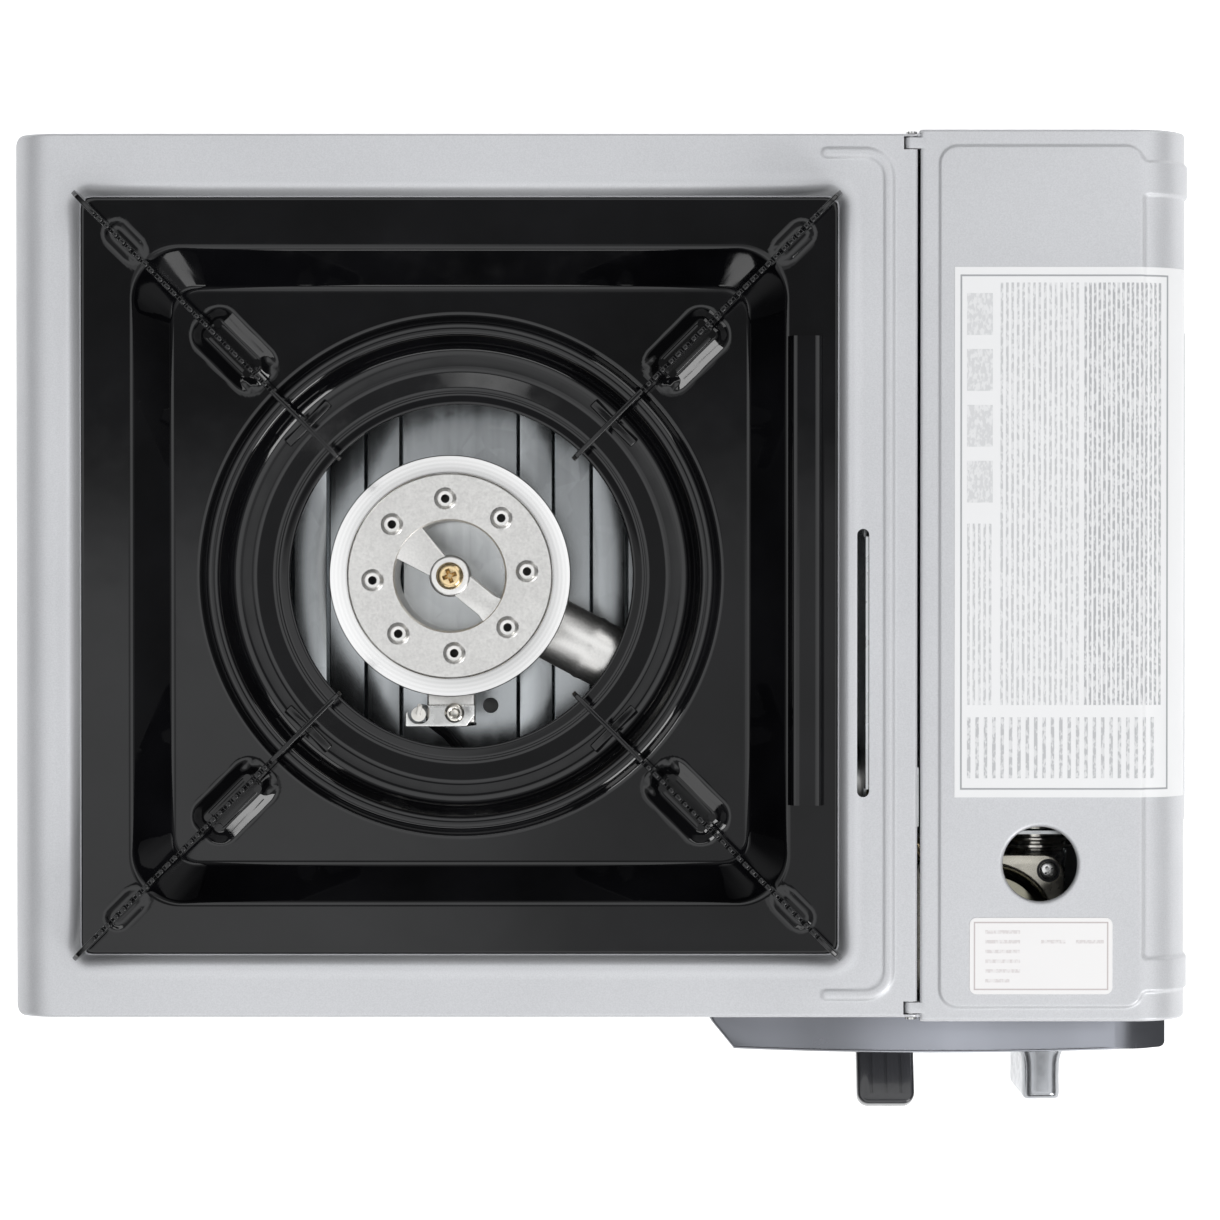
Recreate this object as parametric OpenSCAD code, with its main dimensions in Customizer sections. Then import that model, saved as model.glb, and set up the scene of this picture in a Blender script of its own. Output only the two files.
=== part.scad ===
// Butane cassette stove with a lidded canister bay.
// Millimetres. X runs to the right, Y to the back, Z up from the surface it stands on.

/* [Overall] */
// Width over the lid's raised bands
stove_w = 340; // [330:1:360]
// Depth of the body over the lid's end flanges
body_d = 256; // [252:1:270]
// Height of the casing's top above the table
body_top = 84; // [82:0.5:90]
// How far the lever stands out in front of the body
front_reach = 30; // [27:0.5:36]
// Thickness of the painted and galvanised sheet
sheet_t = 0.8; // [0.6:0.1:1]

/* [Casing] */
// Width of the lid, which covers the canister bay
lid_w = 78.2; // [76:0.2:82]
// Visible gap between casing and lid
seam_gap = 2; // [1.8:0.1:2.4]
// Bend radius along the left side of the casing
side_bend_r = 13; // [8:1:16]
// Vertical corner radius of the casing
corner_r = 4; // [2:0.5:6]
// Depth of the flange that stiffens the edge at the seam
seam_flange_h = 6; // [4:0.5:8]
// Width and height of the sloped edge round the pan recess
rim_w = 4.2; // [3:0.2:5]
// Width of the ledge that carries the pan
ledge_w = 9; // [7:0.5:10]
// Length of the slot beside the pan
slot_len = 76.6; // [50:1:90]
// Width of the slot beside the pan
slot_w = 3; // [2:0.2:4]
// Distance from the casing's seam edge to the slot's middle
slot_inset = 14.2; // [13:0.2:16]
// How far the slot's middle lies in front of the pan's middle
slot_front = 25; // [15:1:35]
// Width of the pressed bead beside the pan
bead_w = 3.6; // [3:0.2:4.4]
// Height of the pressed beads
bead_h = 0.8; // [0.5:0.1:1]
// Distance from the seam edge to the long bead's middle
bead_inset = 7.6; // [6:0.2:9]
// Distance from the body's ends to the bead's cross runs
bead_end_inset = 6.4; // [5.5:0.2:8]
// Length of the bead's cross runs
bead_run = 11; // [8:0.5:14]
// Corner radius of the bead
bead_r = 7; // [5:0.5:9]

/* [Base tray and feet] */
// Height of the feet
foot_h = 6; // [5:0.5:8]
// Radius of the feet
foot_r = 9; // [7:0.5:11]
// Distance of the feet from the tray's edges
foot_inset = 18; // [15:1:25]
// Height of the tray's turned-up walls
tray_wall_h = 14; // [10:1:18]
// Height of the tray's wall beside the canister
bay_wall_h = 24; // [18:1:30]
// Width of the tray's pressed ribs
rib_w = 12; // [8:0.5:14]
// Height of the tray's pressed ribs
rib_h = 2; // [1:0.2:3]
// Distance from the burner's middle to the first rib
rib_first = 23.5; // [20:0.5:26]
// Radius of the vent hole in front of the burner
vent_r = 2.4; // [2.2:0.1:3]
// Distance between neighbouring ribs
rib_pitch = 22.5; // [18:0.5:26]

/* [Drip pan] */
// Side of the square drip pan
pan_w = 218; // [214:1:219]
// Distance from the pan's middle to the seam edge of the casing
pan_to_seam = 131; // [130:0.5:133]
// Corner radius of the pan
pan_r = 3; // [2:0.5:5]
// Thickness of the enamelled pan
pan_t = 0.8; // [0.6:0.1:1]
// Width of the pan's flat border
border_w = 14.6; // [13:0.2:15.6]
// Width of the slope inside the border
slope_w = 10.8; // [8:0.2:12]
// Drop from the border to the pan's floor
slope_h = 8; // [6:0.5:9]
// Corner radius of the pan's floor
floor_r = 7; // [5:0.5:10]
// Outer radius of the ring bead on the floor
ring_r = 76; // [72:0.5:78]
// Width of the ring bead
ring_w = 10; // [8:0.5:12]
// Height of the ring bead
ring_h = 4; // [2.5:0.5:5]
// Drop from the floor to the gutter inside the ring bead
gutter_drop = 3; // [2:0.5:4]
// Radius where the gutter ends and the funnel starts
funnel_r = 60; // [58:0.5:62]
// Radius of the burner hole
hole_r = 50; // [48:0.5:51]
// Length of the pads that carry the blades
pad_l = 26; // [22:1:28]
// Width of the pads that carry the blades
pad_w = 15; // [12:1:17]
// Height of the pads above the floor
pad_h = 3; // [2:0.5:4]
// Distance from the pan's middle to the middle of each pad
pad_radius = 92.8; // [91:0.2:94]
// Length of the raised rail on the border next to the bay
rail_l = 135; // [100:1:150]
// Width of the raised rail
rail_w = 9.8; // [8:0.2:10.5]
// Height of the raised rail
rail_h = 3; // [2:0.5:3.6]

/* [Pan supports] */
// Thickness of the support blades
blade_t = 1.4; // [1.2:0.1:2]
// Height of the blade tops above the casing
blade_rise = 16; // [13:0.5:20]
// Distance from the pan's middle to the inner tips
blade_inner = 46.5; // [42:0.5:48]
// Distance from the pan's middle to the outer ends
blade_outer = 155; // [150:0.5:156]
// Radius inside which the blade is a slim finger
finger_r = 74; // [68:0.5:76]
// Depth of the slim finger
finger_h = 5; // [4:0.5:7]
// Distance between teeth on the top edge
tooth_pitch = 4.5; // [3:0.5:8]
// Depth of the teeth
tooth_h = 0.9; // [0.4:0.1:1.4]
// Distance from the pan's middle to each blade's inner foot
foot_bar_radius = 62.7; // [61:0.1:63.5]
// Length of each blade's inner foot
foot_bar_l = 17; // [12:0.5:20]
// Width of each blade's inner foot
foot_bar_w = 2.6; // [2:0.2:3]
// Distance from the pan's middle to the corner pads
corner_pad_radius = 135.8; // [134:0.2:137]
// Length of the corner pads
corner_pad_l = 15; // [10:0.5:16]
// Width of the corner pads
corner_pad_w = 8; // [6:0.5:9]
// Height of the corner pads
corner_pad_h = 1.2; // [0.8:0.1:1.6]
// Radius of the rivets that hold the blades
rivet_r = 0.6; // [0.5:0.05:0.7]

/* [Burner] */
// Outer radius of the burner head
burner_r = 35; // [32:0.5:37]
// Height of the burner cap's top above the table
burner_top = 75; // [74:0.5:77]
// How far the burner sits left of the pan's middle
burner_shift = 3; // [0:0.5:4]
// Radius of the opening in the middle of the burner
burner_eye_r = 16; // [14:0.5:18]
// Thickness of the burner cap
cap_t = 3; // [2.5:0.5:4]
// Width of the cap's turned outer ring
cap_ring_w = 5.2; // [4:0.2:6]
// Number of flame ports
port_count = 8; // [6:1:12]
// Radius of the circle of flame ports
port_circle_r = 22.4; // [20.5:0.2:24]
// Radius of each port's boss
port_boss_r = 2.4; // [2:0.1:3]
// Radius of each port's hole
port_hole_r = 1.25; // [0.8:0.05:1.6]
// Height of the port bosses
port_boss_h = 1; // [0.6:0.1:1.6]
// Turn of the port pattern
port_turn = 3.3; // [-10:0.1:10]
// Width of the bar across the eye
bar_w = 7.2; // [6:0.2:9]
// Turn of the bar
bar_turn = -39; // [-60:1:-20]
// Radius of the hub in the middle of the bar
hub_r = 5.6; // [5:0.1:6.5]
// Depth of the burner casting below its cap
bowl_h = 27; // [25:0.5:28]
// Wall of the burner casting
cast_wall = 2.5; // [2:0.1:3]
// Outer radius of the mixing tube
tube_r = 9.5; // [8:0.5:10]
// Wall of the mixing tube
tube_wall = 2; // [1.5:0.1:2.5]
// Direction of the mixing tube below the X axis
tube_turn = 27.8; // [25:0.2:30]
// Thread radius of the burner screw
burner_screw_r = 2; // [1.5:0.1:2.5]
// Head radius of the burner screw
burner_head_r = 3.9; // [3.4:0.1:4.5]

/* [Lid] */
// Bend radius along the right side of the lid
lid_bend_r = 16; // [12:1:20]
// Depth of the lid's end flanges
lid_flange_h = 11; // [9:0.5:12]
// Height of the lid's lower edge above the table
lid_bottom = 16; // [13:1:22]
// Height of the raised panel and bands
panel_raise = 0.8; // [0.6:0.1:1]
// Distance of the raised panel from the seam edge
raise_left = 4.9; // [4:0.1:7]
// Distance of the raised panel from the lid's back end
raise_back = 4.8; // [4:0.1:7]
// Distance of the raised panel from the lid's front end
raise_front = 4.2; // [4:0.1:7]
// Width of the raised panel
raise_w = 57.5; // [52:0.5:58]
// Width of the raised bands that run over the side
band_w = 9.6; // [7:0.2:12]
// Distance of the bands from the ends of the raised panel
band_inset = 4.4; // [3:0.2:7]
// Radius of the viewing hole
view_hole_r = 10.7; // [8:0.1:12]
// Length of the raised pad on the lid's side
side_pad_l = 149; // [120:1:180]
// Height of the raised pad on the lid's side
side_pad_h = 36; // [20:1:40]
// Radius of the hinge pins
hinge_pin_r = 1; // [0.8:0.1:1.2]
// Depth of the hinge axis below the casing's top
hinge_depth = 2.2; // [2.2:0.1:2.8]
// How far the hinge axis lies inside the seam edge
hinge_inset = 1.1; // [1:0.1:1.5]
// Length of each hinge ear
ear_l = 3.2; // [2.5:0.1:4]

/* [Labels] */
// Width of the information label
label_w = 63.5; // [50:0.5:64]
// Length of the information label
label_l = 152; // [120:1:160]
// Distance of the information label from the lid's back end
label_back = 39.5; // [30:0.5:50]
// Width of the small label
small_label_w = 41; // [30:0.5:45]
// Length of the small label
small_label_l = 22; // [15:0.5:22.5]
// Distance of the small label from the lid's front end
small_label_front = 8; // [7:0.5:9]
// Thickness of the labels
label_t = 0.2; // [0.15:0.05:0.4]

/* [Control panel and knob] */
// Width of the control panel
panel_w = 133.6; // [128:0.2:136]
// Depth of the control panel at its ends
panel_d = 10.6; // [9:0.2:12]
// How far the panel's face bulges in the middle
panel_bulge = 1.6; // [1:0.2:2.4]
// Wall of the control panel
panel_wall = 2; // [1.5:0.1:2.5]
// Height of the panel's lower edge above the table
panel_bottom = 14; // [12:1:18]
// Gap between the panel's top and the lid's flange
panel_top_gap = 1; // [0.6:0.2:2]
// Distance of the panel's right end from the lid's side
panel_side_gap = 5.8; // [5:0.2:8]
// Radius of the knob's disc
knob_r = 21; // [18:0.5:22]
// Thickness of the knob's disc
knob_disc_t = 3; // [2.5:0.5:4]
// Height of the grip above the knob's disc
grip_h = 15.6; // [12:0.2:16]
// Thickness of the grip
grip_t = 11.4; // [8:0.2:13]
// Gap between the knob and the panel
knob_gap = 0.4; // [0.3:0.1:1]

/* [Gas fittings] */
// Distance of the canister's axis from the lid's side
gas_inset = 41; // [40:0.5:42]
// Height of the canister's axis above the table
gas_z = 43; // [42:0.5:45]
// Radius of the valve stem
stem_r = 3; // [2.5:0.1:3.5]
// Radius of the regulator's round housing
regulator_r = 20.5; // [19:0.5:21]
// Side of the regulator's square flange
regulator_flange = 43.6; // [42:0.2:43.8]
// Distance of the regulator's middle from the canister's axis
regulator_shift = 15.7; // [15:0.1:17]
// Radius of the regulator's horizontal valve barrel
barrel_r = 9; // [8:0.5:10]
// Radius of the canister socket
socket_r = 12; // [11:0.5:13]
// Length of the canister socket
socket_l = 8; // [6:0.5:9]

/* [Lever and carriage] */
// Width of the lever's handle
handle_w = 17; // [14:0.5:18]
// Thickness of the lever's handle
handle_t = 6; // [5:0.5:7]
// Height of the lever's pivot above the table
pivot_z = 34; // [32:0.5:36]
// Distance of the lever's pivot behind the body's front
pivot_back = 18; // [16:0.5:20]
// Upward angle of the lever at rest
lever_rest = 20; // [16:1:22]
// Angle that the lever turns through
lever_turn = 25; // [20:1:26]
// Distance from the pivot to the drive pin
crank_r = 20.8; // [18:0.2:22]
// Radius of the drive pin
drive_pin_r = 1.5; // [1.2:0.1:2]
// Thickness of the lever's steel arm
arm_t = 1.5; // [1.2:0.1:2]
// Width of the canister cradle
cradle_w = 58; // [50:1:60]
// Radius of the shank of the guide studs
stud_r = 2; // [1.5:0.1:2.5]

/* [Igniter] */
// Width of the piezo igniter
piezo_w = 11; // [9:0.5:13]
// Height of the piezo igniter
piezo_h = 16; // [12:0.5:18]
// Length of the piezo igniter
piezo_l = 24; // [20:1:28]
// Travel of the igniter's plunger
plunger_travel = 4; // [3:0.5:5]
// Radius of the ignition lead
lead_r = 1.5; // [1.2:0.1:1.8]

/* [Hidden] */
$fn = 64;

// A small overlap that makes cuts and joins definite
eps = 0.01;
// Gap between parts that move past each other
move_gap = 0.4;
// Gap between parts that only sit side by side
sit_gap = 0.3;
// Radial clearance of running fits
run_gap = 0.05;
// Gap that a cut-out leaves round a pipe
pipe_gap = 1;

// Overall planes
x_left = -stove_w / 2;
x_right = stove_w / 2;
y_back = (body_d + front_reach) / 2;
y_front = y_back - body_d;
body_y = (y_back + y_front) / 2;

// Casing
wall_inset = sheet_t + move_gap;
wall_back = y_back - wall_inset;
wall_front = y_front + wall_inset;
lid_x = x_right - lid_w;
casing_x = lid_x - seam_gap;
casing_bottom = foot_h + sheet_t;
lid_side_x = x_right - panel_raise;
bay_side_x = lid_side_x - wall_inset;

// Pan recess
pan_x = casing_x - pan_to_seam;
recess_w = pan_w + 2 * move_gap;
recess_r = pan_r + move_gap;
ledge_z = body_top - rim_w - pan_t;
border_z = ledge_z + pan_t;
floor_z = border_z - slope_h;
floor_w = pan_w - 2 * border_w - 2 * slope_w;
gutter_z = floor_z - gutter_drop;
funnel_drop = 3.4;

// Base tray
tray_top = foot_h + sheet_t;
tray_left = x_left + sheet_t + sit_gap;
tray_back = wall_back - sheet_t - sit_gap;
tray_front = wall_front + sheet_t + sit_gap;
tray_corner_r = corner_r - sheet_t - sit_gap;
tray_x = (tray_left + bay_side_x) / 2;
tray_w = bay_side_x - tray_left;
tray_d = tray_back - tray_front;

// Partition and heat shield
part_inset = 5.8;
part_x = casing_x - part_inset;
part_top = body_top - sheet_t;
shield_x = casing_x - slot_inset;
foot_flange_w = 6;
tab_front = 72;
tab_back = 55;

// Burner
burner_x = pan_x - burner_shift;
cap_z = burner_top - cap_t;
bowl_z = cap_z - bowl_h;
tube_z = bowl_z + tube_r;
tube_dir = [cos(tube_turn), -sin(tube_turn)];
mouth_back = 7.5;
tube_reach = (part_x - burner_x) / tube_dir[0] - mouth_back;
flare = 1.5;
stand_top = bowl_z;
stand_t = 1.2;
stand_w = 2 * (rib_first - rib_w / 2) - 5;
stand_l = 2 * burner_eye_r + 20;
stand_foot = 8;

// Hinge
hinge_x = casing_x - hinge_inset;
hinge_z = body_top - hinge_depth;
ear_r = 1.9;
ear_back = wall_back - sheet_t - sit_gap;
ear_front = wall_front + sheet_t + sit_gap;

// Gas fittings
gas_x = x_right - gas_inset;
reg_x = gas_x - regulator_shift;
reg_y = wall_front + sheet_t + sit_gap + regulator_flange / 2 + 0.5;
reg_bottom = pivot_z;
reg_flange_z = tube_z + 5;
reg_flange_t = 3;
reg_cover_t = 1.6;
reg_screw_inset = 4.6;
reg_nut_r = 6;
reg_corner_r = 6;
socket_back = reg_y + regulator_flange / 2 + socket_l;
guide_y = socket_back - 1.6;
guide_t = 1;
guide_rise = 26;
guide_toe = 6;
jet_r = 3;
jet_l = 12;

// Control panel
panel_right = x_right - panel_side_gap;
panel_left = panel_right - panel_w;
panel_top = body_top - lid_flange_h - panel_top_gap;
panel_face = wall_front - panel_d;
panel_mid_x = (panel_left + panel_right) / 2;
bulge_r = (pow(panel_w / 2, 2) + pow(panel_bulge, 2)) / (2 * panel_bulge);
bulge_y = panel_face - panel_bulge + bulge_r;

// Lever
lever_x = part_x + 2.2;
arm_x = part_x + sheet_t + 1.4;
pivot_y = y_front + pivot_back;
handle_x = lever_x - 10.8;
crank_lean = lever_turn / 2;
drive_y = pivot_y + crank_r * sin(crank_lean);
drive_z = pivot_z + crank_r * cos(crank_lean);
lever_travel = 2 * crank_r * sin(crank_lean);

// Carriage
cradle_z = tray_top + sit_gap;
cradle_front = guide_y + guide_t + 10;
cradle_back = tray_back - 5;
arm_low_z = tube_z - 26;
side_arm_x = arm_x + arm_t + 1.6;

// Igniter
piezo_x = gas_x + 17;
piezo_z = gas_z + 13;
piezo_y = wall_front + sheet_t;
cam_rest = -60;
plunger_out = 2.4;
plunger_in = 3;
cam_r = norm([piezo_x - gas_x, piezo_z - gas_z]);
plunger_w = 4;
electrode_y = body_y - burner_r - 5;

lug_w = 14;
ceramic_r = 2.1;
ceramic_x = burner_x - lug_w / 2 - ceramic_r - sit_gap;
ceramic_y = electrode_y - sit_gap;
ceramic_z = 46;
wire_r = 0.7;
wire_turn = 75;
lead_end_y = piezo_y + piezo_l - 4;
lead_run_y = piezo_y + 13;

// Route of the ignition lead, from the electrode to the igniter
LEAD = [
  [ceramic_x, ceramic_y, ceramic_z],
  [ceramic_x, ceramic_y, 40],
  [ceramic_x + 1.5, electrode_y - 4, 34],
  [burner_x - 3, electrode_y - 8, 29],
  [burner_x + 1, electrode_y - 13, 25],
  [burner_x + 2, electrode_y - 22, 20],
  [burner_x + 4, lead_run_y + 37, 14],
  [burner_x + 14, lead_run_y + 21, 13],
  [burner_x + 32, lead_run_y + 8, 13],
  [burner_x + 55, lead_run_y + 2, 13],
  [burner_x + 85, lead_run_y, 13],
  [shield_x - foot_flange_w / 2, lead_run_y, 13],
  [part_x, lead_run_y, 13],
  [part_x + 18, lead_run_y, 14],
  [part_x + 38, lead_run_y + 1, 16],
  [piezo_x - 10, lead_end_y - 3, 20],
  [piezo_x - 3, lead_end_y - 1, 27],
  [piezo_x, lead_end_y, 36],
  [piezo_x, lead_end_y, piezo_z - piezo_h / 2]
];
lead_sides = 8;

// ---------- helpers ----------

// Rounded rectangle, centred
module round_rect(w, d, r) {
  square([w - 2 * r, d], center = true);
  square([w, d - 2 * r], center = true);
  for (sx = [-1, 1], sy = [-1, 1]) translate([sx * (w / 2 - r), sy * (d / 2 - r)]) circle(r);
}

// Slot outline with round ends, along X
module round_slot(len, w) {
  square([len - w, w], center = true);
  for (s = [-1, 1]) translate([s * (len - w) / 2, 0]) circle(w / 2);
}

// Sweeps a profile (x outward, y up) round a centred rounded rectangle
module frame_sweep(w, d, r) {
  for (k = [0 : 3]) {
    side = (k % 2 == 0) ? w - 2 * r : d - 2 * r;
    away = (k % 2 == 0) ? d / 2 : w / 2;
    rotate([0, 0, 90 * k]) translate([side / 2, -away, 0]) rotate([90, 0, -90]) linear_extrude(side)
      children();
    cx = (k == 0 || k == 1) ? w / 2 - r : r - w / 2;
    cy = (k == 1 || k == 2) ? d / 2 - r : r - d / 2;
    translate([cx, cy, 0]) rotate([0, 0, 90 * k - 90]) rotate_extrude(angle = 90) translate([r, 0])
      children();
  }
}

// Extrudes an outline drawn in X and Z along Y, from y0 to y1
module along_y(y0, y1) {
  translate([0, y1, 0]) rotate([90, 0, 0]) linear_extrude(y1 - y0) children();
}

// Extrudes an outline drawn in Y and Z along X, from x0 to x1
module along_x(x0, x1) {
  translate([x0, 0, 0]) rotate([90, 0, 90]) linear_extrude(x1 - x0) children();
}

// Cylinder along Y with its near end at y0
module rod_y(x, y0, z, len, r) {
  translate([x, y0 + len, z]) rotate([90, 0, 0]) cylinder(h = len, r = r);
}

// Cylinder along X with its near end at x0
module rod_x(x0, y, z, len, r) {
  translate([x0, y, z]) rotate([0, 90, 0]) cylinder(h = len, r = r);
}

// Box from one corner to the other
module block(a, b) {
  translate(a) cube(b - a);
}

// Pan-head screw that stands on z = 0 with its shank below
module screw(head_r, head_h, shank_r, shank_l) {
  difference() {
    union() {
      cylinder(h = head_h * 0.6, r = head_r);
      translate([0, 0, head_h * 0.6 - eps]) cylinder(h = head_h * 0.4 + eps, r = head_r * 0.8);
      translate([0, 0, -shank_l]) cylinder(h = shank_l + eps, r = shank_r);
    }
    for (a = [0, 90]) rotate([0, 0, a]) translate([-head_r * 0.5, -head_r * 0.09, head_h * 0.5])
      cube([head_r, head_r * 0.18, head_h]);
  }
}

// ---------- casing ----------

// Casing outline in X and Z: square at the seam, bent on the left, grown inward by g
module casing_profile(g) {
  r = side_bend_r - g;
  translate([x_left + side_bend_r, casing_bottom])
    square([casing_x - x_left - side_bend_r, body_top - g - casing_bottom]);
  translate([x_left + g, casing_bottom]) square([side_bend_r, body_top - side_bend_r - casing_bottom]);
  translate([x_left + side_bend_r, body_top - side_bend_r]) circle(r);
}

// Casing plan with rounded left corners, grown inward by g
module casing_plan(g, right) {
  r = corner_r - g;
  translate([x_left + corner_r, wall_front + g])
    square([right - x_left - corner_r, wall_back - wall_front - 2 * g]);
  translate([x_left + g, wall_front + corner_r]) square([corner_r, wall_back - wall_front - 2 * corner_r]);
  for (y = [wall_front + corner_r, wall_back - corner_r]) translate([x_left + corner_r, y]) circle(r);
}

module casing_block(g, right) {
  intersection() {
    along_y(wall_front - 1, wall_back + 1) casing_profile(g);
    linear_extrude(body_top + 1) casing_plan(g, right);
  }
}

// Raised half-round bead profile, its flat side on z = 0
module bead_profile() {
  r = (pow(bead_w / 2, 2) + pow(bead_h, 2)) / (2 * bead_h);
  intersection() {
    translate([0, bead_h - r]) circle(r);
    translate([-bead_w / 2, -sheet_t / 2]) square([bead_w, bead_h + sheet_t / 2]);
  }
}

module casing_bead() {
  bead_x = casing_x - bead_inset;
  y0 = wall_front + bead_end_inset;
  y1 = wall_back - bead_end_inset;
  turn_x = bead_x - bead_r;
  translate([0, 0, body_top]) {
    translate([bead_x, y1 - bead_r, 0]) rotate([90, 0, 0]) linear_extrude(y1 - y0 - 2 * bead_r)
      bead_profile();
    for (s = [0, 1]) {
      y = s == 0 ? y0 : y1;
      yc = s == 0 ? y0 + bead_r : y1 - bead_r;
      translate([turn_x, yc, 0]) rotate([0, 0, s == 0 ? -90 : 0])
        rotate_extrude(angle = 90) translate([bead_r, 0]) bead_profile();
      translate([turn_x - bead_run, y, 0]) rotate([90, 0, 90]) linear_extrude(bead_run) bead_profile();
    }
  }
}

// Front and back walls of the canister bay, up to the lid
module bay_walls() {
  for (y = [wall_front, wall_back - sheet_t]) along_y(y, y + sheet_t)
    lid_profile(sheet_t + move_gap, casing_x - sheet_t, casing_bottom);
}

module body_shell() color("silver") difference() {
  union() {
    difference() {
      casing_block(0, casing_x);
      difference() {
        casing_block(sheet_t, casing_x + 1);
        block([casing_x - sheet_t, wall_front, body_top - seam_flange_h], [casing_x, wall_back, body_top]);
      }
      translate([pan_x, body_y, floor_z]) linear_extrude(body_top)
        round_rect(recess_w + 2 * rim_w, recess_w + 2 * rim_w, recess_r + rim_w);
    }
    bay_walls();
    casing_bead();
    translate([pan_x, body_y, 0]) frame_sweep(recess_w, recess_w, recess_r) polygon([
      [rim_w, body_top], [rim_w + sheet_t, body_top], [rim_w + sheet_t, body_top - sheet_t],
      [rim_w + 0.4 * sheet_t, body_top - sheet_t], [sheet_t, body_top - rim_w - 0.4 * sheet_t],
      [sheet_t, ledge_z - sheet_t], [0, ledge_z - sheet_t], [0, body_top - rim_w]]);
    translate([pan_x, body_y, ledge_z - sheet_t]) linear_extrude(sheet_t) difference() {
      round_rect(recess_w + sheet_t, recess_w + sheet_t, recess_r + sheet_t / 2);
      round_rect(recess_w - 2 * ledge_w, recess_w - 2 * ledge_w, recess_r);
    }
  }
  // slot beside the pan
  translate([casing_x - slot_inset, body_y - slot_front, body_top - 3]) rotate([0, 0, 90])
    linear_extrude(6) round_slot(slot_len, slot_w);
  // room for the hinge ears
  for (y = [ear_front, ear_back - ear_l])
    block([hinge_x - ear_r - move_gap, y - sit_gap, body_top - 2 * seam_flange_h],
      [casing_x + 1, y + ear_l + sit_gap, body_top + 1]);
  // room for the partition's tab
  block([casing_x - 1, body_y - tab_front - sit_gap, part_top - 3 * sheet_t - sit_gap],
    [casing_x + 1, body_y - tab_back + sit_gap, part_top - 2 * sheet_t + sit_gap]);
  // holes for the hinge pins, the knob's stem and the lever
  rod_y(hinge_x, wall_front - 1, hinge_z, body_d + 2, hinge_pin_r + run_gap);
  rod_y(gas_x, wall_front - 1, gas_z, sheet_t + 2, stem_r + 3);
  block([arm_x - 1, wall_front - 1, pivot_z - 6],
    [arm_x + arm_t + 1, wall_front + sheet_t + 1, pivot_z + 12]);
  for (p = panel_screw_places()) rod_y(p[0], wall_front - 1, p[1], sheet_t + 2, panel_screw_r + run_gap);
  plunger_way(wall_front - 1, wall_front + sheet_t + 1);
}

// ---------- base tray ----------

module base_tray() color("lightgray") {
  difference() {
    union() {
      translate([tray_x, body_y, foot_h]) linear_extrude(tray_wall_h)
        round_rect(tray_w, tray_d, tray_corner_r);
      block([bay_side_x - sheet_t, tray_front + tray_corner_r, foot_h],
        [bay_side_x, tray_back - tray_corner_r, foot_h + bay_wall_h]);
    }
    translate([tray_x, body_y, tray_top]) linear_extrude(tray_wall_h)
      round_rect(tray_w - 2 * sheet_t, tray_d - 2 * sheet_t, tray_corner_r - sheet_t);
    for (p = foot_places()) translate([p[0], p[1], foot_h - 1])
      cylinder(h = sheet_t + 2, r = foot_screw_r + run_gap);
    translate([burner_x + 9.5, body_y - burner_r - 5, foot_h - 1]) cylinder(h = sheet_t + 2, r = vent_r);
  }
  for (side = [-1, 1], k = [0, 1]) tray_rib(burner_x + side * (rib_first + k * rib_pitch));
}

// Pressed rib from front to back with round ends
module tray_rib(x) {
  translate([x, body_y, tray_top - eps]) rotate([0, 0, 90]) linear_extrude(rib_h)
    round_slot(tray_d - 50, rib_w);
}

function foot_places() = [
  for (x = [tray_left + foot_inset, bay_side_x - foot_inset],
    y = [tray_front + foot_inset, tray_back - foot_inset]) [x, y]
];
foot_screw_r = 1.5;

module feet() color("dimgray") for (p = foot_places()) translate([p[0], p[1], 0]) difference() {
  cylinder(h = foot_h, r = foot_r);
  translate([0, 0, -1]) cylinder(h = foot_h + 2, r = foot_screw_r + run_gap);
  translate([0, 0, -1]) cylinder(h = foot_h / 2 + 1, r = 2 * foot_screw_r + move_gap);
}

module tray_screws() color("gray") for (p = foot_places()) translate([p[0], p[1], foot_h / 2])
  mirror([0, 0, 1])
  screw(2 * foot_screw_r, 1.6, foot_screw_r, foot_h / 2 + sheet_t);

// ---------- partition and heat shield ----------

module partition() color("lightgray") difference() {
  union() {
    block([part_x, tray_front + sheet_t, tray_top], [part_x + sheet_t, tray_back - sheet_t, part_top]);
    block([part_x - foot_flange_w, tray_front + sheet_t, tray_top],
      [part_x + sheet_t, tray_back - sheet_t, tray_top + sheet_t]);
    // tab that hooks over in the seam
    block([part_x, body_y - tab_front, part_top - 3 * sheet_t],
      [casing_x + 1, body_y - tab_back, part_top - 2 * sheet_t]);
    block([casing_x + 0.2, body_y - tab_front, part_top - 3 * sheet_t],
      [casing_x + 1, body_y - tab_back, part_top]);
  }
  // passage of the mixing tube and of the jet
  pass_y = body_y + (part_x - burner_x) / tube_dir[0] * tube_dir[1];
  rod_x(part_x - 1, pass_y, tube_z, sheet_t + 2, tube_r + pipe_gap);
  // room for the hinge ears, the lever's stud and the lead
  for (y = [ear_front - 1, ear_back - ear_l - 1])
    block([part_x - 1, y, hinge_z - 6], [part_x + 9, y + ear_l + 2, body_top]);
  rod_x(part_x - 1, pivot_y, pivot_z, sheet_t + 2, stud_r + run_gap);
  rod_x(part_x - 1, LEAD[12][1], LEAD[12][2], sheet_t + 2, lead_r + pipe_gap);
}

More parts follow.
